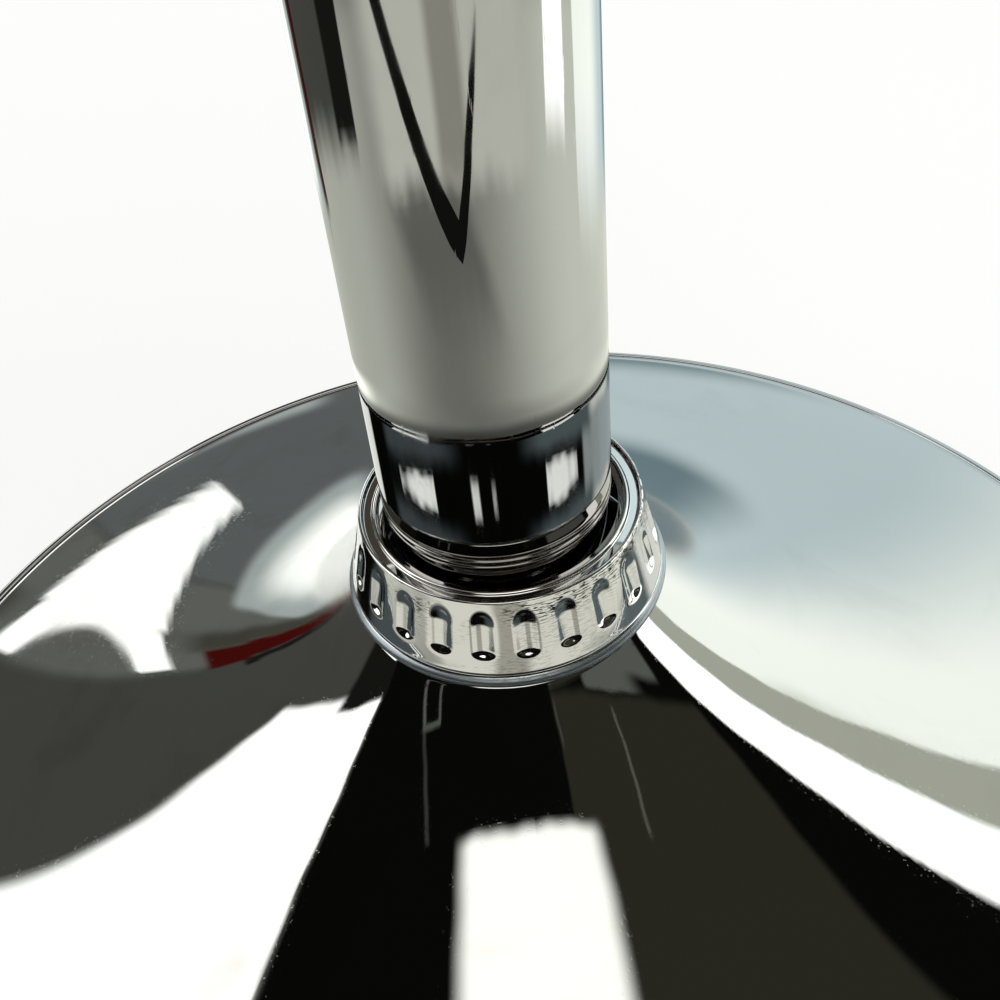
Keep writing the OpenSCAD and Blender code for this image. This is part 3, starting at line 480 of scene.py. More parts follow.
socket = {"mouthZ": 119.0, "mouthR": 22.9, "taper": 0.025, "gap": 0.05, "wallR": 24.0, "lowZ": 60.7,
          "flangeR": 31.0, "flangeTop": 86.7, "flangeT": 3.0, "ringR": 24.9, "ringZ": 112.3, "around": 256,
          "beads": [(-0.35, 0), (-0.1, 0.4), (-0.1, 1.2), (-0.35, 1.4), (-0.35, 1.9), (0, 2.1), (0, 2.9),
                    (-0.35, 3.1), (-0.35, 3.6), (0, 3.8)]}


def socketProfile(s):
    mouthR, mouthZ, wallR, lowZ, ringR, ringZ = pick(s, "mouthR", "mouthZ", "wallR", "lowZ", "ringR", "ringZ")
    flangeR, flangeTop, gap = pick(s, "flangeR", "flangeTop", "gap")
    lowBore, flangeLow = mouthR - (mouthZ - lowZ) * s["taper"] + gap, flangeTop - s["flangeT"]
    corners = [(lowBore, lowZ), (wallR, lowZ), (wallR, flangeLow), (flangeR, flangeLow), (flangeR, flangeTop),
               (wallR, flangeTop), (wallR, ringZ)]
    cuts = [0.3] * len(corners) + [0.16] * len(s["beads"]) + [0.5, 0.35, 0.05]
    corners += [(ringR + r, ringZ + z) for r, z in s["beads"]]
    corners += [(ringR, mouthZ - 2.1), (mouthR + 0.8, mouthZ), (mouthR + gap, mouthZ)]
    return roundedCorners(corners, cuts, 4)


spun("socketMouth", socketProfile(socket), socket["around"], "base", "chrome", shadedSocketChrome, "base_socket")


# Column: a tube swaged in at its foot, which turns out to full width just above the socket

column = {"outerR": 25.0, "wall": 1.5, "footZ": 28.0, "topZ": 454.974, "swage": 2.1, "plateT": 3.0,
          "boreR": 4.1, "rows": 24, "around": 256}


def columnProfile(c, s):
    outerR, wall, footZ, topZ, boreR, rows = pick(c, "outerR", "wall", "footZ", "topZ", "boreR", "rows")
    mouthR, mouthZ, plateZ = s["mouthR"], s["mouthZ"], footZ + c["plateT"]
    footR = mouthR - (mouthZ - footZ) * s["taper"]
    turnZ = mouthZ + c["swage"] + s["gap"]
    straight = np.linspace((outerR, turnZ + 0.4), (outerR, topZ - 0.6), rows)
    return np.concatenate([
        [(boreR, footZ), (footR - 0.3, footZ), (footR, footZ + 0.3), (mouthR, mouthZ - 0.6)],
        arc((mouthR, turnZ), c["swage"], -90, 0, 12), straight,
        [(outerR - 0.15, topZ - 0.1), (outerR - 0.5, topZ), (outerR - wall, topZ), (outerR - wall, turnZ + 1),
         (mouthR - wall, mouthZ), (footR - wall, plateZ), (boreR, plateZ)]])


spun("columnTube", columnProfile(column, socket), column["around"], "base", "chrome", tubeChrome,
     "column_tube")


# Trim collar: a loose plated ring with flutes, a beaded recess round the column and a foot bead

collar = {"z": 88.2, "height": 21.8, "topR": 31.3, "lowR": 35.3, "lowZ": 4.0, "lipR": 25.8, "wall": 2.0,
          "innerBead": [(0, 1.6), (1.2, 1.3), (1.5, 0.6), (1.9, 0.45), (2.3, 0.6), (2.6, 1.1)],
          "topRim": [(1.1, 1.1), (0.9, 0.2), (0.5, 0), (0.1, 0.15)], "recess": 3.6,
          "beadCentre": (35.1, 1.6), "beadR": 1.3, "shift": 0.45, "flutes": 23, "fluteW": 4.7, "fluteL": 11.2,
          "fluteDeep": 0.8, "fluteDrop": 2.7, "edgeSoft": 0.3, "topSlow": 0.66, "footSlow": 1.55,
          "wallRows": 60, "aroundPerFlute": 30}


def collarGrid(c):
    topZ, topR, lowR, lowZ, wall, lipR = pick(c, "height", "topR", "lowR", "lowZ", "wall", "lipR")
    high, low, recessZ = np.array([topR, topZ - 0.5]), np.array([lowR, lowZ]), topZ - c["recess"]
    crown = [(lipR + r, topZ - z) for r, z in c["innerBead"]] + [(topR - r, topZ - z) for r, z in c["topRim"]]
    crown = roundedCorners([(lipR, recessZ)] + crown + [tuple(high)], 0.22, 4, closed=False)[:-1]
    share = np.linspace(0, 1, c["wallRows"])[:, None]
    outside = high + (low - high) * share
    foot = arc(c["beadCentre"], c["beadR"], 75, -90, 19)
    inside = [(lowR - wall - 0.6, foot[-1, 1]), (lowR - wall - 0.2, lowZ), (topR - wall, recessZ)]
    cols = c["flutes"] * c["aroundPerFlute"]
    grid = revolved(np.concatenate([crown, outside, [low - (0.5, 0.3)], foot, inside]), cols)
    # A flute is the hollow that a rolling capsule leaves: depth = sqrt(R^2 - q^2) - (R - deep),
    # where q is the distance from the flute's middle line, counted slower past its upper end and
    # faster past its foot. Its rim is softened by taking half of depth + sqrt(depth^2 + soft^2)
    # in place of the larger of depth and nothing.
    deep, width, topSlow, footSlow = pick(c, "fluteDeep", "fluteW", "topSlow", "footSlow")
    tilt = math.atan2(lowR - high[0], high[1] - lowZ)
    cutR = (width**2 / 4 + deep**2) / (2 * deep)
    halfTop, halfFoot = (c["fluteL"] / 2 - width / 2 / slow for slow in (topSlow, footSlow))
    along = (outside[:, 1:] - (topZ - c["fluteDrop"] - c["fluteL"] / 2)) / math.cos(tilt)
    t, step = ringAngles(cols), turn / c["flutes"]
    past = np.maximum((along - halfTop) * topSlow, (-along - halfFoot) * footSlow)
    q = np.hypot(outside[:, :1] * (t % step - step / 2), np.maximum(past, 0))
    depth = np.sqrt(np.maximum(cutR**2 - q**2, 0)) - (cutR - deep)
    depth = 0.5 * (depth + np.sqrt(depth**2 + c["edgeSoft"] ** 2))
    depth *= smoothStep(share, 0.0, 0.05) * smoothStep(-share, -1.0, -0.95)
    outward = np.stack([np.cos(t) * math.cos(tilt), np.sin(t) * math.cos(tilt), 0 * t + math.sin(tilt)], -1)
    grid[len(crown):len(crown) + len(share)] -= depth[..., None] * outward
    return grid + (c["shift"], 0, c["z"])


placed(gridPiece("trimCollar", collarGrid(collar) * mm), "collar", "chrome_plastic", collarChrome,
       "trim_collar")


# Footrest: a bent tube in the sockets of a cast clamp

footrest = {"z": 302.0, "tubeR": 11.0, "loopR": 125.0, "bendR": 40.0, "boreX": 33.0, "cols": 48,
            "columnR": 25.1, "clampR": 32.0, "clampH": 34.0, "boreR": 11.05, "socketR": 14.5,
            "socketX": (28.0, 47.0), "voxel": 0.8, "easeFrom": 4.5, "easeFull": 1.0, "easeLeast": 0.08,
            "easeSteps": 40}


def loopPath(f):
    bendX = f["loopR"] - f["bendR"]
    straight = np.linspace((f["boreX"], 0), (bendX, 0), 14)[:-1]
    bend = arc((bendX, f["bendR"]), f["bendR"], -90, 0, 28)[:-1]
    rightSide = np.concatenate([straight, bend])
    bow = arc((0, f["bendR"]), f["loopR"], 0, 180, 120)
    flat = np.concatenate([rightSide, bow, rightSide[::-1] * (-1, 1)])
    return np.insert(flat, 2, f["z"], axis=1)


def closedEnds(path, radius):
    # The first and last points are doubled at no radius, which closes the tube's ends.
    path = np.concatenate([path[:1], path, path[-1:]])
    path[0] = path[1] + (path[1] - path[2]) * 1e-3
    path[-1] = path[-2] + (path[-2] - path[-3]) * 1e-3
    radii = np.full(len(path), float(radius))
    radii[[0, -1]] = 0
    return path, radii


loopLine, loopRadii = closedEnds(loopPath(footrest), footrest["tubeR"])
footrestLoop = gridPiece("footrestLoop", sweptGrid(loopLine, loopRadii, (0, 0, 1), footrest["cols"]) * mm,
                         closeRows=False, mergePoles=True)
placed(footrestLoop, "base", "chrome", tubeChrome, "footrest_loop")


def castClamp(f):
    # The ring and its two sockets are remeshed into one skin, and the skin is eased most where
    # the sockets run into the ring, so that it gets a casting's fillets. Bores stay true.
    columnR, clampR, boreR, socketR = pick(f, "columnR", "clampR", "boreR", "socketR")
    half, (innerX, outerX), middle = f["clampH"] / 2, f["socketX"], (0, 0, f["z"])
    ring = roundedCorners([(columnR, -half), (clampR, -half), (clampR, half), (columnR, half)],
                          [0.6, 2.2, 2.2, 0.6], 6)
    sleeve = roundedCorners([(boreR, innerX), (socketR, innerX), (socketR, outerX), (boreR, outerX)],
                            [0.4, 0.4, 1.6, 0.5], 6)
    rightSleeve = revolved(sleeve, 128)[..., [2, 1, 0]] + middle
    shells = [revolved(ring, 160) + middle, rightSleeve, rightSleeve * (-1, 1, 1)]
    solid = [gridPiece("clampShell", shell * mm) for shell in shells]
    target = solid[0]
    with bpy.context.temp_override(active_object=target, object=target, selected_editable_objects=solid,
                                   selected_objects=solid):
        bpy.ops.object.join()
    target.name = target.data.name = "footrestClamp"
    remesh = target.modifiers.new("skin", "REMESH")
    remesh.mode, remesh.voxel_size, remesh.use_smooth_shade = "VOXEL", f["voxel"] * mm, True
    applyModifiers(target)
    co = vertexArray(target) / mm
    fromRing = np.abs(np.hypot(co[:, 0], co[:, 1]) - clampR)
    fromSleeve = np.abs(np.hypot(co[:, 1], co[:, 2] - f["z"]) - socketR)
    nearJoin = [smoothStep(-away, -f["easeFrom"], -f["easeFull"]) for away in (fromRing, fromSleeve)]
    level = np.round(nearJoin[0] * nearJoin[1] * 10).astype(int)
    group = target.vertex_groups.new(name="ease")
    for value in range(11):
        group.add(np.flatnonzero(level == value).tolist(), max(value / 10, f["easeLeast"]), "REPLACE")
    ease = target.modifiers.new("ease", "SMOOTH")
    ease.factor, ease.iterations, ease.vertex_group = 0.5, f["easeSteps"], "ease"
    applyModifiers(target)
    target.data.shade_smooth()
    return target


placed(castClamp(footrest), "base", "chrome", tubeChrome, "footrest_clamp")


# Lever: a bent rod over the release pin, its pivot boss and a soft grip

lever = {"pivotX": 36.0, "z": 512.274, "tail": -6.0, "knee": (58.0, 512.274), "lowKnee": (84.0, 499.274),
         "end": (164.0, 491.571), "rodR": 4.0, "kneeCut": 9.0, "bossR": 5.5, "bossHalf": 6.2, "pinR": 2.08,
         "cols": 40}


def leverPath(v):
    corners = [(v["tail"], v["z"]), v["knee"], v["lowKnee"], v["end"]]
    flat = roundedCorners(corners, v["kneeCut"], 14, closed=False)
    return np.insert(flat, 1, 0, axis=1)


def leverMesh(v):
    line, radii = closedEnds(leverPath(v), v["rodR"])
    rod = sweptGrid(line, radii, (0, 1, 0), v["cols"])
    pinR, bossR, half = pick(v, "pinR", "bossR", "bossHalf")
    boss = roundedCorners([(pinR, -half), (bossR, -half), (bossR, half), (pinR, half)], 0.6, 4)
    bossGrid = revolved(boss, 48)[..., [0, 2, 1]] + (v["pivotX"], 0, v["z"])
    rodFaces = gridFaces(*rod.shape[:2], False, True)
    bossFaces = gridFaces(*bossGrid.shape[:2], True, True)[:, ::-1] + rod.shape[0] * rod.shape[1]
    points = np.concatenate([rod.reshape(-1, 3), bossGrid.reshape(-1, 3)])
    return meshPiece("leverRod", points * mm, np.concatenate([rodFaces, bossFaces]), mergePoles=True)


placed(leverMesh(lever), "lever", "chrome", tubeChrome, "lever_rod")

grip = {"length": 58.0, "radius": 8.0, "slope": 5.5, "past": 3.0, "bore": 4.06, "neck": 0.62, "start": 0.74,
        "startZ": 2.0, "fullAt": 0.62, "domeFlat": 0.7, "ribs": 5, "ribFrom": 0.2, "ribSpan": 0.3,
        "ribDepth": 0.35, "around": 96}


def gripGrid(g, v):
    # A club shape: a slim neck, a long swell with a band of ribs, and a domed end over the rod.
    # Heights along it are shares of its length.
    radius, length, start, startZ, bore = pick(g, "radius", "length", "start", "startZ", "bore")
    fullZ, domeH = length * g["fullAt"], radius * g["domeFlat"]
    low = roundedCorners([(bore, 0.0), (radius * g["neck"], 0.0), (radius * start, startZ), (radius, fullZ)],
                         0.8, 6, closed=False)[:-1]
    share = np.linspace(0.16, 0.60, 90)[:, None]
    swell = radius * (start + (1 - start) * (share * length - startZ) / (fullZ - startZ))
    rib = np.maximum(np.sin((share - g["ribFrom"]) / g["ribSpan"] * g["ribs"] * turn), 0) ** 2
    inBand = smoothStep(share, 0.18, 0.21) * smoothStep(-share, -0.52, -0.49)
    body = np.concatenate([swell - g["ribDepth"] * rib * inBand, share * length], 1)
    dome = arc((0, 0), 1, 0, 90, 22) * (radius, domeH) + (0, length - domeH)
    inner = [(0.0, length - 2.2), (bore, length - 2.4)]
    low = low[low[:, 1] < body[0, 1] - 0.5]
    flat = revolved(np.concatenate([low, body, dome, inner]), g["around"]) - (0, 0, length - g["past"])
    # The grip's own Z lies along the rod's last stretch, which falls away from the seat.
    slope = math.radians(g["slope"])
    fall, reach = math.sin(slope), math.cos(slope)
    axes = np.array([[fall, 0, reach], [0, 1, 0], [reach, 0, -fall]])
    return flat @ axes + (v["end"][0], 0, v["end"][1])


placed(gridPiece("leverGrip", gripGrid(grip, lever) * mm, mergePoles=True), "lever", "black_plastic",
       blackPlastic, "lever_grip")


# Seat pan: a moulded dish under the board with a turned-up edge

pan = {"holeR": 129.0, "outerR": 183.0, "edgeH": 18.0, "wall": 2.5, "top": 522.5, "around": 256}


def panProfile(p):
    holeR, outerR, edgeH, wall, topZ = pick(p, "holeR", "outerR", "edgeH", "wall", "top")
    lowZ, lip = topZ - wall, topZ - wall + edgeH
    centre = (outerR - edgeH, lip)
    return np.concatenate([
        [(holeR, topZ - 0.4), (holeR, lowZ + 0.5), (holeR + 0.5, lowZ), (holeR + 4, lowZ)],
        arc(centre, edgeH, -90, -1, 30),
        [(outerR - 0.1, lip), (outerR - 0.7, lip + 0.05), (outerR - wall + 0.3, lip + 0.05)],
        arc(centre, edgeH - wall, 0, -90, 20), [(holeR + 0.5, topZ)]])


spun("seatPan", panProfile(pan), pan["around"], "seat", "black_plastic", blackPlastic, "seat_pan")


# Cushion: a crowned top and a side band of leatherette over foam, blown up by the cloth solver

pad = {"lowZ": 534.8, "edgeZ": 538.3, "crownZ": 600.0, "boardR": 160.5, "edgeR": 177.5, "sideR": 185.0,
       "bellyR": 189.4, "seam": (182.0, 585.5), "shrinkTop": 5.0, "shrinkSide": 2.5, "voxel": 5.0,
       "pressure": 4.0, "quality": 6, "stiffness": 12.0, "bending": 2.0, "frames": 20, "cap": 9.0,
       "heldEdge": 1.5, "heldSeam": 5.0, "around": 200, "draw": 1.6, "drawReach": 3.0, "pucker": 0.45,
       "puckerReach": 13.0}


def padProfile(p, top, side):
    lowZ, edgeZ, crownZ, sideR, bellyR, seam = pick(p, "lowZ", "edgeZ", "crownZ", "sideR", "bellyR", "seam")
    belly, (seamR, seamZ) = bellyR - side, seam
    band, _ = bezierCurve([(sideR, edgeZ), (belly, edgeZ + 12), (belly, seamZ - 22), seam], 16)
    crown, _ = bezierCurve([seam, (seamR - 4, seamZ + 12 - top), (seamR - 40, crownZ + 0.4 - top),
                            (60, crownZ - top), (0, crownZ - top)], 40)
    under = [(r, lowZ) for r in (0, 60, 120, p["boardR"])] + [(p["edgeR"], edgeZ)]
    return np.concatenate([under, band, crown[1:]])


def seatCushionPiece(p):
    shrinkTop, shrinkSide = ((p["shrinkTop"], p["shrinkSide"]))
    grid = revolved(padProfile(p, shrinkTop, shrinkSide), p["around"]) * mm
    piece = gridPiece("seatCushion", grid, closeRows=False, mergePoles=True)
    inflate(piece, p)
    return piece


def inflate(piece, p):
    # Cloth under pressure from a slightly smaller start; no point may move further than the cap.
    remesh = piece.modifiers.new("skin", "REMESH")
    remesh.mode, remesh.voxel_size = "VOXEL", p["voxel"] * mm
    smooth = piece.modifiers.new("even", "SMOOTH")
    smooth.factor, smooth.iterations = 0.5, 4
    applyModifiers(piece)
    start = vertexArray(piece)
    r, z = np.hypot(start[:, 0], start[:, 1]) / mm, start[:, 2] / mm
    held = (z < p["edgeZ"] + p["heldEdge"]) | (np.hypot(r - p["seam"][0], z - p["seam"][1]) < p["heldSeam"])
    group = piece.vertex_groups.new(name="held")
    group.add(np.flatnonzero(held).tolist(), 1.0, "REPLACE")
    cloth = piece.modifiers.new("foam", "CLOTH")
    settings = cloth.settings
    settings.quality = p["quality"]
    settings.use_pressure, settings.uniform_pressure_force = True, p["pressure"]
    settings.vertex_group_mass = "held"
    settings.tension_stiffness = settings.compression_stiffness = p["stiffness"]
    settings.bending_stiffness = p["bending"]
    settings.effector_weights.gravity = 0
    cloth.collision_settings.use_collision = False
    scene = bpy.context.scene
    for number in range(1, p["frames"] + 1):
        scene.frame_set(number)
    applyModifiers(piece)
    scene.frame_set(1)
    moved = vertexArray(piece) - start
    far = np.linalg.norm(moved, axis=1, keepdims=True)
    print("cushion swelled by up to", round(float(far.max()) / mm, 1), "mm")
    moved *= np.minimum(1, p["cap"] * mm / np.maximum(far, 1e-9))
    moveVertices(piece, start + moved)
    finer = piece.modifiers.new("finer", "SUBSURF")
    finer.levels = finer.render_levels = 1
    applyModifiers(piece)


seatCushion = seatCushionPiece(pad)
seatCushion.data.shade_smooth()


def sewn(piece, p):
    # The skin is drawn in along the seam: depth falls as exp(-(d / w)^2) with the distance d
    # from the seam, and small gathers run out of it as uneven waves round the seat.
    co = vertexArray(piece) / mm
    r, a = np.hypot(co[:, 0], co[:, 1]), np.arctan2(co[:, 1], co[:, 0])
    d = np.hypot(r - p["seam"][0], co[:, 2] - p["seam"][1])
    wave = np.sin(61 * a + 2.1 * np.sin(5 * a)) + 0.7 * np.sin(97 * a + 1.3 * np.sin(7 * a + 1))
    inward = p["draw"] * np.exp(-(d / p["drawReach"]) ** 2)
    inward += p["pucker"] * wave * np.exp(-(d / p["puckerReach"]) ** 2)
    inward *= smoothStep(co[:, 2], p["edgeZ"] + 2, p["edgeZ"] + 10)
    way = co - (0, 0, p["seam"][1] - 20)
    way /= np.maximum(np.linalg.norm(way, axis=1, keepdims=True), 1e-6)
    moveVertices(piece, (co - way * inward[:, None]) * mm)


sewn(seatCushion, pad)
placed(seatCushion, "seat", "upholstery", redHide, "seat_cushion")

welt = {"centre": (182.0, 585.5), "radius": 2.4, "around": 360, "section": 20}


def weltGrid(w):
    # Piping: a thin ring whose section swells and slims a little with each pull of the thread.
    t, a = ringAngles(w["around"]), ringAngles(w["section"])[:, None]
    section = w["radius"] * (0.97 + 0.03 * np.sin(150 * t))
    r = w["centre"][0] + section * np.cos(a) + 0.12 * np.sin(9 * t)
    z = w["centre"][1] + section * np.sin(a) + 0.1 * np.sin(13 * t)
    return np.stack([r * np.cos(t), r * np.sin(t), z], -1)


placed(gridPiece("seatWelt", weltGrid(welt) * mm), "seat", "upholstery", redHide, "seat_welt")
print("seat made")


# Stage: floor, what stands round the stool in its mirrors, lamps, world and camera

stage = {"floorSize": 30.0, "floorZ": -0.0002, "floorColor": (0.965, 0.968, 0.93), "glow": 0.82,
         "sheetFrom": 0.20952, "sheetTo": 0.22248, "sideDim": 0.22, "sideBright": 0.97, "dimAz": -150,
         "leftBright": 0.60, "rightBright": 0.83, "floorTint": (1.0, 1.02, 0.9), "brightWay": (0.21, 0.98, 0),
         "brightSpot": (-0.12, 0.20), "spotFrom": 0.05, "spotTo": 0.17, "spotGlow": 0.8, "shadeFrom": 0.201,
         "shadeTo": 0.209, "shadeDim": 0.3, "dark": (0.004, 0.004, 0.0035), "domeR": 6.0, "domeStep": 0.5,
         "mark": [(-0.035, -0.318), (-0.585, -0.443), (-0.585, -0.533), (-0.035, -0.358), (0.115, -0.508),
                  (0.24, -0.578)]}


# What the chrome sees. Azimuth is 0 away from the camera and 90 to its right, in degrees; each
# light has its edges' softness on both sides and in height, how far its sides lean for a degree
# of height, and how far its lower edge rises for a degree to the right of its left side.

def light(az, el, color, soft=(1.0, 1.0, 3.0), lean=(0.0, 0.0), rise=0.0):
    return {"az": az, "el": el, "color": color, "soft": soft, "lean": lean, "rise": rise}


def frontLight(az, *rest):
    # A light across the camera's direction, where 180 meets -180, is laid twice, a turn apart.
    return [light((az[0] - back, az[1] - back), *rest) for back in (0, 360)]


surroundings = [
    # Behind and to the right: a pale window wall, its post and a white window
    light((5, 76), (-27, 64), (0.72, 0.86, 0.89), (10, 1, 6)),
    light((45, 78), (-27, 58), (1.5, 1.56, 1.45), (24, 1, 10)),
    light((67, 78), (12, 45), (1.1, 1.15, 1.02), (5, 1, 8)),
    light((2, 25), (-27, 1), (0.21, 0.30, 0.33), (5, 14, 6)),
    light((72.8, 83), (-8, 40), (0.58, 0.60, 0.50), (0.7, 0.7, 3), (-0.25, -0.32)),
    light((83, 98.5), (-24, 60), (2.0, 2.0, 1.96), (0.8, 0.8, 4), (-0.32, -0.45)),
    # In front on the right: a dark room with two grey patches
    light((95, 162), (14.5, 80), (0.034, 0.034, 0.024), (2, 1.5, 3)),
    light((103, 141), (3, 10.2), (0.14, 0.145, 0.13), (2, 3, 2.5)),
    light((115, 141), (3, 13.7), (0.14, 0.145, 0.13), (9, 3, 1.2)),
    # To the left: grey walls, a dim ceiling and a low bright window
    light((-100, -44), (-24, 66), (0.08, 0.082, 0.072), (1, 1, 4)),
    light((-44, -31), (-24, 66), (0.17, 0.175, 0.16), (1.5, 1.5, 4)),
    light((-31, 3), (-24, 32), (0.15, 0.165, 0.165), (1.5, 12, 5)),
    light((-60, 3), (32, 68), (0.055, 0.047, 0.038), (6, 12, 5)),
    light((-33.9, -12), (-27, 1.2), (0.52, 0.58, 0.57), (1.6, 3, 3), (0.27, 0.0)),
    light((-31, -14), (-25, -3.5), (1.15, 1.2, 1.15), (8, 4, 6)),
    light((-29, -14), (-25, -7.5), (1.55, 1.6, 1.5), (8, 4, 5)),
    # A dark post with its red spot, a white window over a black sill, and two panes
    light((-41, -38), (-27, 8), (0.075, 0.075, 0.06), (1, 2, 6)),
    light((-44.6, -41), (-27, 6.5), (0.075, 0.006, 0.005), (0.5, 0.7, 1.5)),
    light((-46.2, -44.8), (-27, 1), (0.014, 0.014, 0.012), (0.4, 0.3, 1)),
    light((-99, -64), (5, 66), (2.0, 2.0, 1.96), (0.8, 2.0, 2)),
    light((-101, -82), (-24, 7.5), (0.012, 0.012, 0.01), (1, 3, 1)),
    light((-38.1, -22.2), (10.3, 30), (1.95, 1.95, 1.9), (0.4, 0.5, 0.6), (0.0, 0.03), -0.145),
    light((-43.5, -38), (11.0, 14.3), (1.95, 1.95, 1.9), (0.4, 0.6, 0.5)),
    # Thin bright edges in front, on the left and on the right
    light((-119.1, -117.7), (9, 17.3), (0.14, 0.145, 0.13), (0.5, 0.5, 0.8), (-0.5, -0.5)),
    light((-119.1, -117.7), (17, 36), (0.055, 0.055, 0.05), (0.6, 0.6, 1), (-0.5, -0.5)),
    light((-129.9, -128.7), (9, 17.3), (0.13, 0.135, 0.12), (0.5, 0.5, 0.8), (-0.3, -0.3)),
    light((-134.4, -126.2), (16.2, 17.4), (0.12, 0.125, 0.11), (0.5, 0.5, 0.6)),
    light((160.4, 161.4), (16.5, 24), (0.08, 0.08, 0.07), (0.5, 0.5, 3)),
    light((127.0, 128.1), (17, 38), (0.13, 0.13, 0.11), (0.5, 0.5, 2), (0.2, 0.2)),
    # Straight in front: a halo round the dark mark, the pale floor, a window, and the ceiling
    *frontLight((260, 318), (-33, -26), (0.17, 0.17, 0.15), (14, 18, 7), (3, 3)),
    *frontLight((125, 240), (-26.5, -14), (0.72, 0.72, 0.64), (20, 20, 2)),
    *frontLight((172, 194), (-26.5, -14), (0.38, 0.37, 0.32), (8, 8, 2)),
    *frontLight((155, 210), (37, 62), (1.8, 1.8, 1.7), (8, 8, 3)),
    light((-180, 180), (68, 95), (0.9, 0.9, 0.9), (1, 1, 6)),
]

# What the column sees by way of the dish: the same windows, from lower down
lowSurroundings = [
    light((30, 88), (-18, 40), (0.55, 0.62, 0.62), (36, 4, 3)),
    light((5, 34), (-24, 3), (0.26, 0.34, 0.37), (8, 14, 4)),
    light((36, 88), (-24, 3), (1.1, 1.12, 1.05), (16, 4, 4)),
    light((-44, -10), (-18, 14), (1.5, 1.5, 1.45), (4, 8, 4)),
    light((8, 60), (3, 12), (0.6, 0.68, 0.70), (8, 8, 4)),
    light((-140, -70), (-18, 6.2), (0.10, 0.12, 0.13), (30, 10, 4)),
    light((75, 145), (-18, 6.2), (0.16, 0.20, 0.21), (10, 30, 4)),
    light((-121, -82), (7.9, 60), (1.9, 1.9, 1.86), (1, 1, 0.8)),
    light((97, 132), (7.9, 60), (1.9, 1.9, 1.86), (1, 1, 0.8)),
    light((-163.5, -157), (8.6, 12.4), (1.6, 1.6, 1.55), (2, 2, 1.2)),
    light((-179, -175.5), (9.0, 12), (1.0, 1.0, 0.96), (1.2, 1.2, 1.2)),
]


def softEdge(x, soft):
    return smoothStep(x, -soft / 2, soft / 2)


def domeGlow(azimuth, elevation, lights):
    # Starts dark above the floor, which is dimmest towards the camera. Each light is laid over the
    # last by a mask that is the product of four soft steps, one for each edge, after the edges
    # are bent a little by slow waves.
    az = azimuth + 0.25 * np.sin(elevation * 0.31) + 0.12 * np.sin(elevation * 0.83 + 1)
    el = elevation + 0.2 * np.sin(azimuth * 0.23) + 0.12 * np.sin(azimuth * 0.61 + 2)
    dim, left, right = pick(stage, "sideDim", "leftBright", "rightBright")
    turned = (azimuth - stage["dimAz"] + 180) % 360 - 180
    toLeft = smoothStep(turned, 0, 70) * (left - dim) + smoothStep(turned, 140, 180) * (right - left)
    toRight = smoothStep(-turned, 10, 125) * (right - dim)
    low = smoothStep(-elevation, 13, 20) * (dim + np.where(turned > 0, toLeft, toRight))
    glow = np.array(stage["floorTint"]) * low[..., None] + stage["dark"]
    for one in lights:
        (azLow, azHigh), (elLow, elHigh), (leanLow, leanHigh) = pick(one, "az", "el", "lean")
        softLow, softHigh, softEl = one["soft"]
        foot = elLow + one["rise"] * (az - azLow)
        mask = softEdge(az - azLow - leanLow * el, softLow) * softEdge(azHigh + leanHigh * el - az, softHigh)
        mask = (mask * softEdge(el - foot, softEl) * softEdge(elHigh - el, softEl))[..., None]
        glow = glow * (1 - mask) + np.array(one["color"]) * mask
    return glow


def stageTree(piece, name):
    # A new material on the piece, without any nodes yet
    material = bpy.data.materials.new(name)
    material.use_nodes = True
    material.node_tree.nodes.clear()
    piece.data.materials.append(material)
    return material.node_tree


def glowing(tree, color, strength=1.0):
    return addNode(tree, "Emission", Color=color, Strength=strength).outputs[0]


def onlyInMirrors(piece):
    for ray in ("camera", "diffuse", "transmission", "volume_scatter", "shadow"):
        setattr(piece, "visible_" + ray, False)
    return piece


def studioDome(s):
    cols, rows = round(360 / s["domeStep"]), round(180 / s["domeStep"])
    azimuth, elevation = np.meshgrid(np.linspace(-180, 180, cols, endpoint=False), np.linspace(-90, 90, rows))
    a, e = np.radians(azimuth), np.radians(elevation)
    grid = s["domeR"] * np.stack([np.cos(e) * np.sin(a), np.cos(e) * np.cos(a), np.sin(e)], -1)
    dome = gridPiece("studioDome", grid, closeRows=False)
    tree = stageTree(dome, "domeLight")
    seen = []
    for name, lights in (("glow", surroundings), ("lowGlow", lowSurroundings)):
        shades = np.concatenate([domeGlow(azimuth, elevation, lights), np.ones((rows, cols, 1))], -1)
        dome.data.attributes.new(name, "FLOAT_COLOR", "POINT").data.foreach_set("color", shades.reshape(-1))
        seen.append(addNode(tree, "Attribute", {"attribute_name": name}).outputs["Color"])
    again = math2(tree, "GREATER_THAN", addNode(tree, "LightPath").outputs["Glossy Depth"], 1.5)
    addNode(tree, "OutputMaterial", Surface=glowing(tree, mixColor(tree, again, *seen)))
    return onlyInMirrors(dome)


def seenRays(tree):
    # 1 for rays from the camera, from a mirror and through glass, and 0 for all others
    rays = addNode(tree, "LightPath").outputs
    both = math2(tree, "MAXIMUM", rays["Is Camera Ray"], rays["Is Glossy Ray"])
    return math2(tree, "MAXIMUM", both, rays["Is Transmission Ray"]), rays["Is Glossy Ray"]


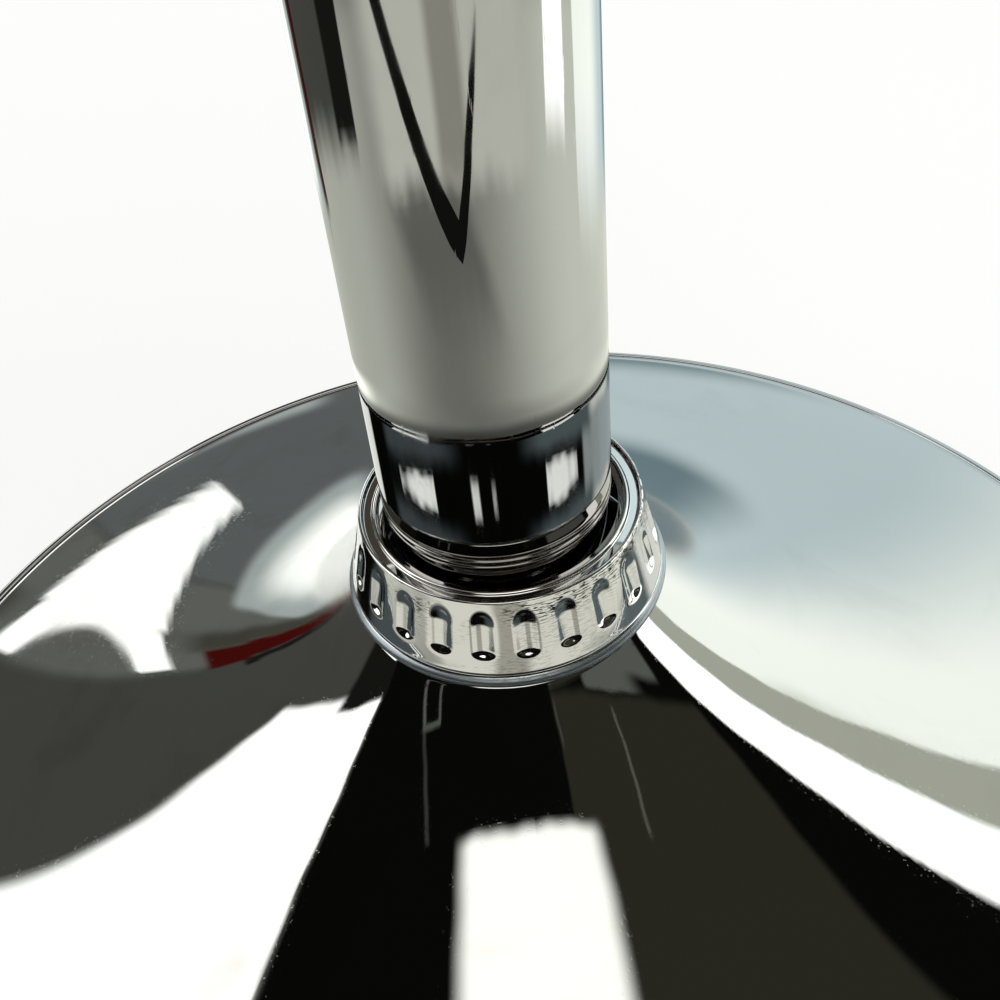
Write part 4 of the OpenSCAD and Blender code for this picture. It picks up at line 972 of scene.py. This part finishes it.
def paleFloor(s):
    line = np.linspace(-0.5, 0.5, 3) * s["floorSize"]
    x, y = np.meshgrid(line, line, indexing="ij")
    floor = gridPiece("paleFloor", np.stack([x, y, 0 * x + s["floorZ"]], -1), False, False)
    tree = stageTree(floor, "paleFloor")
    seen, glossy = seenRays(tree)
    paint = addNode(tree, "BsdfDiffuse", Color=s["floorColor"]).outputs[0]
    plain = mixShaders(tree, times(tree, seen, s["glow"]), paint, glowing(tree, (1, 1, 0.985)))
    # In a mirror the pale sheet is brightest behind the stool, dim towards the camera and dark
    # where the rim shades it; it ends a little past the rim and the room shows beyond.
    place = addNode(tree, "NewGeometry").outputs["Position"]
    way = vectorMath(tree, "NORMALIZE", place)["Vector"]
    facing = vectorMath(tree, "DOT_PRODUCT", way, s["brightWay"])["Value"]
    side = addNode(tree, "MapRange", Value=facing, From_Min=-1.0, From_Max=0.6, To_Min=s["sideDim"],
                   To_Max=s["sideBright"]).outputs["Result"]
    away, fromSpot = (vectorMath(tree, "DISTANCE", place, (*centre, 0))["Value"]
                      for centre in ((0, 0), s["brightSpot"]))
    spot = remap(tree, fromSpot, s["spotFrom"], s["spotTo"], s["spotGlow"], 0.0)
    shade = remap(tree, away, s["shadeFrom"], s["shadeTo"], s["shadeDim"])
    strength = times(tree, math2(tree, "ADD", side, spot), shade)
    mirrored = mixShaders(tree, glossy, plain, glowing(tree, s["floorTint"], strength))
    past = times(tree, remap(tree, away, s["sheetFrom"], s["sheetTo"]), glossy)
    through = addNode(tree, "BsdfTransparent").outputs[0]
    addNode(tree, "OutputMaterial", Surface=mixShaders(tree, past, mirrored, through))
    return floor


def darkMark(s):
    # Two dark strips on the floor in front, which meet at a point and show only in the column
    faces = np.array([[0, 1, 2, 3], [0, 3, 4, 5]])
    mark = meshPiece("darkMark", np.insert(s["mark"], 2, 0, axis=1), faces)
    tree = stageTree(mark, "darkMark")
    addNode(tree, "OutputMaterial", Surface=glowing(tree, (0.008, 0.008, 0.007)))
    return onlyInMirrors(mark)


def lamp(name, place, aim, size, power):
    bulb = bpy.data.lights.new(name, "AREA")
    bulb.shape, bulb.size, bulb.energy = "DISK", size, power
    made = bpy.data.objects.new(name, bulb)
    x, y, z = np.subtract(aim, place)
    made.location = place
    made.rotation_euler = (math.acos(-z / math.hypot(x, y, z)), 0, math.atan2(y, x) - math.pi / 2)
    made.visible_glossy = made.visible_camera = False
    bpy.context.scene.collection.objects.link(made)


def softWorld(strength):
    world = bpy.data.worlds.new("softWorld")
    world.use_nodes = True
    tree = world.node_tree
    tree.nodes.clear()
    seen, _ = seenRays(tree)
    plain, white = (addNode(tree, "Background", Color=(1, 1, 1), Strength=value).outputs[0]
                    for value in (strength, 1.0))
    addNode(tree, "OutputWorld", Surface=mixShaders(tree, seen, plain, white))
    bpy.context.scene.world = world


studioDome(stage)
paleFloor(stage)
darkMark(stage)
lamp("overhead", place=(0.6, -0.5, 2.2), aim=(0, 0, 0.2), size=1.6, power=26)
lamp("side", place=(-1.7, -0.9, 1.3), aim=(0, 0, 0.3), size=1.2, power=12)
softWorld(0.6)

camera = {"place": (0.0, -0.1913, 0.2891), "pitch": 43.30, "roll": -6.34, "yaw": 0.14, "lens": 43.10}


def placeCamera(c):
    # Turned by the yaw, tipped down by the pitch and rolled about its own line of sight
    pitch, roll, yaw = np.radians(pick(c, "pitch", "roll", "yaw"))
    turns = ((-yaw, "Z"), (math.pi / 2 - pitch, "X"), (roll, "Z"))
    yawed, tipped, rolled = (Matrix.Rotation(angle, 4, axis) for angle, axis in turns)
    data = bpy.data.cameras.new("photoCamera")
    data.lens, data.sensor_width, data.clip_start, data.clip_end = c["lens"], 36.0, 0.01, 60.0
    made = bpy.data.objects.new("photoCamera", data)
    made.matrix_world = Matrix.Translation(c["place"]) @ yawed @ tipped @ rolled
    bpy.context.scene.collection.objects.link(made)
    bpy.context.scene.camera = made


placeCamera(camera)
bpy.context.scene.view_settings.view_transform = "Standard"
print("stage, lamps and camera set")
